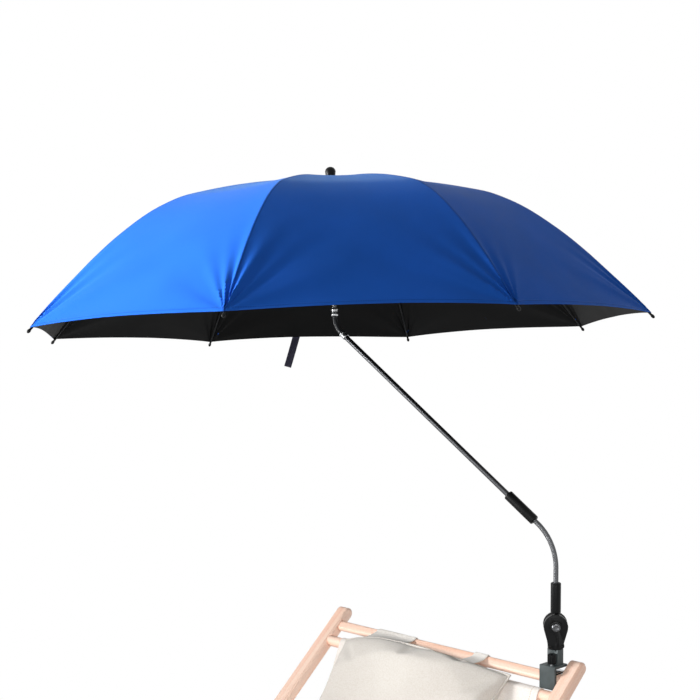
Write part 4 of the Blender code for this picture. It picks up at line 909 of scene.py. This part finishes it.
# Tie band: a short dark web that hangs from the hem and holds the closed canopy.
# Narrow polyester twill web, cut straight at its free end.
# One end is sewn behind the hem, in the middle of the gore between the third rib and the fourth.
tie_length = 0.059
tie_tuck = 0.009
tie_wide = 0.015
tie_thick = 0.0011
tie_rows = 18
tie_columns = 7
tie_heading = radians(225.0)
tie_lean = radians(16.0)
tie_curl = (0.0014, 62.0)
tie_cup = 0.0008
tie_rib = 3
tie_out_level = Vector((cos(tie_heading), sin(tie_heading), 0))
tie_down = tie_out_level * sin(tie_lean) - up * cos(tie_lean)
hem_way = canopy_spot(tie_rib - 1, canopy_radius, 0) - canopy_spot(tie_rib, canopy_radius, 0)
hem_way.normalize()
tie_side = (hem_way - tie_down * hem_way.dot(tie_down)).normalized()
tie_out = tie_down.cross(tie_side)
tie_points = []
tie_uv = []
for row in range(tie_rows):
    run = (tie_length + tie_tuck) * row / (tie_rows - 1) - tie_tuck
    for step in range(tie_columns):
        side = tie_wide * (step / (tie_columns - 1) - 0.5)
        curl = tie_curl[0] * sin(run * tie_curl[1]) + tie_cup * (2 * side / tie_wide) ** 2
        tie_points.append(middle("tie_strap") + tie_down * (run - tie_length / 2) + tie_side * side
                          + tie_out * curl)
        tie_uv.append((side, run))
dark_web, tree, shader = finish("woven_dark_web", {"Roughness": 0.75, "Sheen Weight": 0.3})
size = add(tree, "UVMap", {"uv_map": "sewn_size"})
# Twill lines of 0.5 mm drawn at 1.4 mm, so that they show
twill = add(tree, "TexWave", {"Scale": 320.0, "Distortion": 0.4, "bands_direction": "DIAGONAL"},
            {"Vector": size}).outputs["Fac"]
tone = add(tree, "ValToRGB", None, {"Fac": twill}, [(0.2, "#17162A"), (0.8, "#2C2A45")])
relief = add(tree, "Bump", {"Strength": 0.5, "Distance": 0.0003}, {"Height": twill})
wire(shader, {"Base Color": tone, "Normal": relief})
tie = mesh_piece("tie_band", tie_points, grid_faces(tie_rows, tie_columns), dark_web, tie_uv)
thicken(tie, tie_thick)
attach(tie, "rib_body_" + rib_numbers[tie_rib])
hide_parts("tie_strap")
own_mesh(tie)

# Ribs: steel wires under the seams with moulded ball tips, and flat links down to the runner.
# Black zinc-plated steel; the tips are black nylon balls with a collar.
# The wires hinge in the crown's slots and the links on rivets.
rib_radius = 0.0016
rib_depth = 0.0028
rib_steps = 60
hinge_reach = 0.0110
slot_reach = 0.03
slope_step = 0.001
end_step = 0.004
tip_seat = 0.006
tip_stations = ((-0.006, 0.0017), (-0.0058, 0.0019), (0.0, 0.0020), (0.0020, 0.0019), (0.0032, 0.0024),
                (0.0046, 0.0028), (0.0062, 0.0028), (0.0078, 0.0024), (0.0090, 0.0016), (0.0096, 0.0007))
black_steel = plated_steel("black_zinc_plated_steel", ("#2B2C2E", "#414345"), (0.28, 0.42), 90.0, 4.0,
                           metallic=0.85)
for index, number in enumerate(rib_numbers):
    path = [canopy_spot(index, hinge_reach, hinge_height)]
    for step in range(1, rib_steps + 1):
        radius = hinge_reach + (canopy_radius - hinge_reach) * step / rib_steps
        slope = (seam_height(radius + slope_step) - seam_height(radius - slope_step)) / (2 * slope_step)
        if radius > canopy_radius - slope_step:
            slope = (seam_height(canopy_radius) - seam_height(canopy_radius - end_step)) / end_step
        off = Vector((slope, -1.0)).normalized() * rib_depth
        if radius > slot_reach:
            path.append(canopy_spot(index, radius + off.x, seam_height(radius) + off.y))
    tip_way = (path[-1] - path[-2]).normalized()
    tip_path = [path[-1] + tip_way * run for run, radius in tip_stations]
    path.append(path[-1] + tip_way * tip_seat)
    rib = sweep("rib_wire_" + number, path, rib_radius, 8, black_steel, lift=runner_way)
    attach(rib, "rib_body_" + number)
    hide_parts("rib_" + number)
    tip = sweep("rib_tip_" + number, tip_path, [radius for run, radius in tip_stations], 14, black_nylon,
                lift=runner_way)
    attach(tip, "rib_body_" + number)
carry(["stretcher_" + number for number in rib_numbers], black_steel, 0.0002)

# Studio: a pale floor round the chair's feet that fades to white, and white all round it.
# One soft lamp lights the canopy from the left, and two light the chair and the floor from the front.
# The camera stands a little above the chair's top and looks down slightly.
floor_rings = (0.02, 0.5, 1.0, 1.5, 1.9, 2.2)
floor_fade = (0.70, 1.75)
floor_drop = 0.0002
floor_sides = 64
glow_strength = 0.25
floor_points = [Vector((0, 0, -floor_drop))]
floor_faces = []
for row, radius in enumerate(floor_rings):
    for step in range(floor_sides):
        turn = 2 * pi * step / floor_sides
        floor_points.append(Vector((radius * cos(turn), radius * sin(turn), -floor_drop)))
        after = (step + 1) % floor_sides
        outer = 1 + row * floor_sides
        inner = outer - floor_sides
        floor_faces.append((inner + step, outer + step, outer + after, inner + after) if row else
                           (0, outer + step, outer + after))
pale_floor, tree, shader = finish("matt_white_floor", {"Base Color": linear("#EDEDED"), "Roughness": 0.9,
                                                       "Specular IOR Level": 0.1})
spot = add(tree, "TexCoord").outputs["Object"]
distance = add(tree, "VectorMath", {"operation": "LENGTH"}, {0: spot}).outputs["Value"]
fade = add(tree, "MapRange", {"From Min": floor_fade[0], "From Max": floor_fade[1],
                                        "interpolation_type": "SMOOTHSTEP"}, {"Value": distance})
white = add(tree, "Emission", {"Color": (1, 1, 1, 1), "Strength": 1.0})
mixed = add(tree, "MixShader", None, {0: fade, 1: shader, 2: white})
wire(tree.nodes["Material Output"], {"Surface": mixed})
floor = mesh_piece("floor", floor_points, floor_faces, pale_floor, [spot.xy for spot in floor_points])

world = bpy.data.worlds.new("studio")
bpy.context.scene.world = world
world.use_nodes = True
tree = world.node_tree
tree.nodes.clear()
rays = add(tree, "LightPath").outputs
seen = add(tree, "Math", {"operation": "MAXIMUM"}, {0: rays["Is Camera Ray"], 1: rays["Is Glossy Ray"]})
seen = add(tree, "Math", {"operation": "MAXIMUM"}, {0: seen, 1: rays["Is Transmission Ray"]})
glow = add(tree, "Background", {"Color": (1, 1, 1, 1), "Strength": glow_strength})
plain_white = add(tree, "Background", {"Color": (1, 1, 1, 1), "Strength": 1.0})
both = add(tree, "MixShader", None, {0: seen, 1: glow, 2: plain_white})
add(tree, "OutputWorld", None, {"Surface": both})


def look(made, way):
    """Turn a lamp or the camera to look that way."""
    made.rotation_mode = "QUATERNION"
    made.rotation_quaternion = way.to_track_quat("-Z", "Y")
    bpy.context.scene.collection.objects.link(made)


def soft_lamp(name, aim, heading, elevation, distance, size, spread, power):
    """A square soft lamp aimed from a heading and elevation; a narrow spread is a grid on it."""
    turn = radians(heading)
    rise = radians(elevation)
    way = Vector((cos(turn) * cos(rise), sin(turn) * cos(rise), sin(rise)))
    data = bpy.data.lights.new(name, "AREA")
    data.shape = "SQUARE"
    data.size = size
    data.spread = radians(spread)
    data.energy = power
    made = bpy.data.objects.new(name, data)
    made.visible_camera = False
    made.location = Vector(aim) + way * distance
    look(made, -way)


soft_lamp("canopy_light", aim=(0.04, -0.18, 1.55), heading=226, elevation=3, distance=1.9, size=0.9,
          spread=46, power=13)
soft_lamp("chair_light", aim=(0, 0.10, 0.72), heading=290, elevation=12, distance=1.9, size=0.8, spread=40,
          power=0.6)
soft_lamp("floor_light", aim=(0, 0, 0), heading=315, elevation=25, distance=2.8, size=1, spread=52, power=6)

view_dip = radians(3.07)
view_from_bar = Vector((1.608, -1.835, 0.647))
camera_data = bpy.data.cameras.new("camera")
camera_data.sensor_width = 36.0
camera_data.lens = 74.0
camera = bpy.data.objects.new("camera", camera_data)
camera.location = bar_middle + view_from_bar
look(camera, Vector((-cos(view_dip) * sqrt(0.5), cos(view_dip) * sqrt(0.5), -sin(view_dip))))
bpy.context.scene.camera = camera
bpy.context.scene.view_settings.view_transform = "Standard"
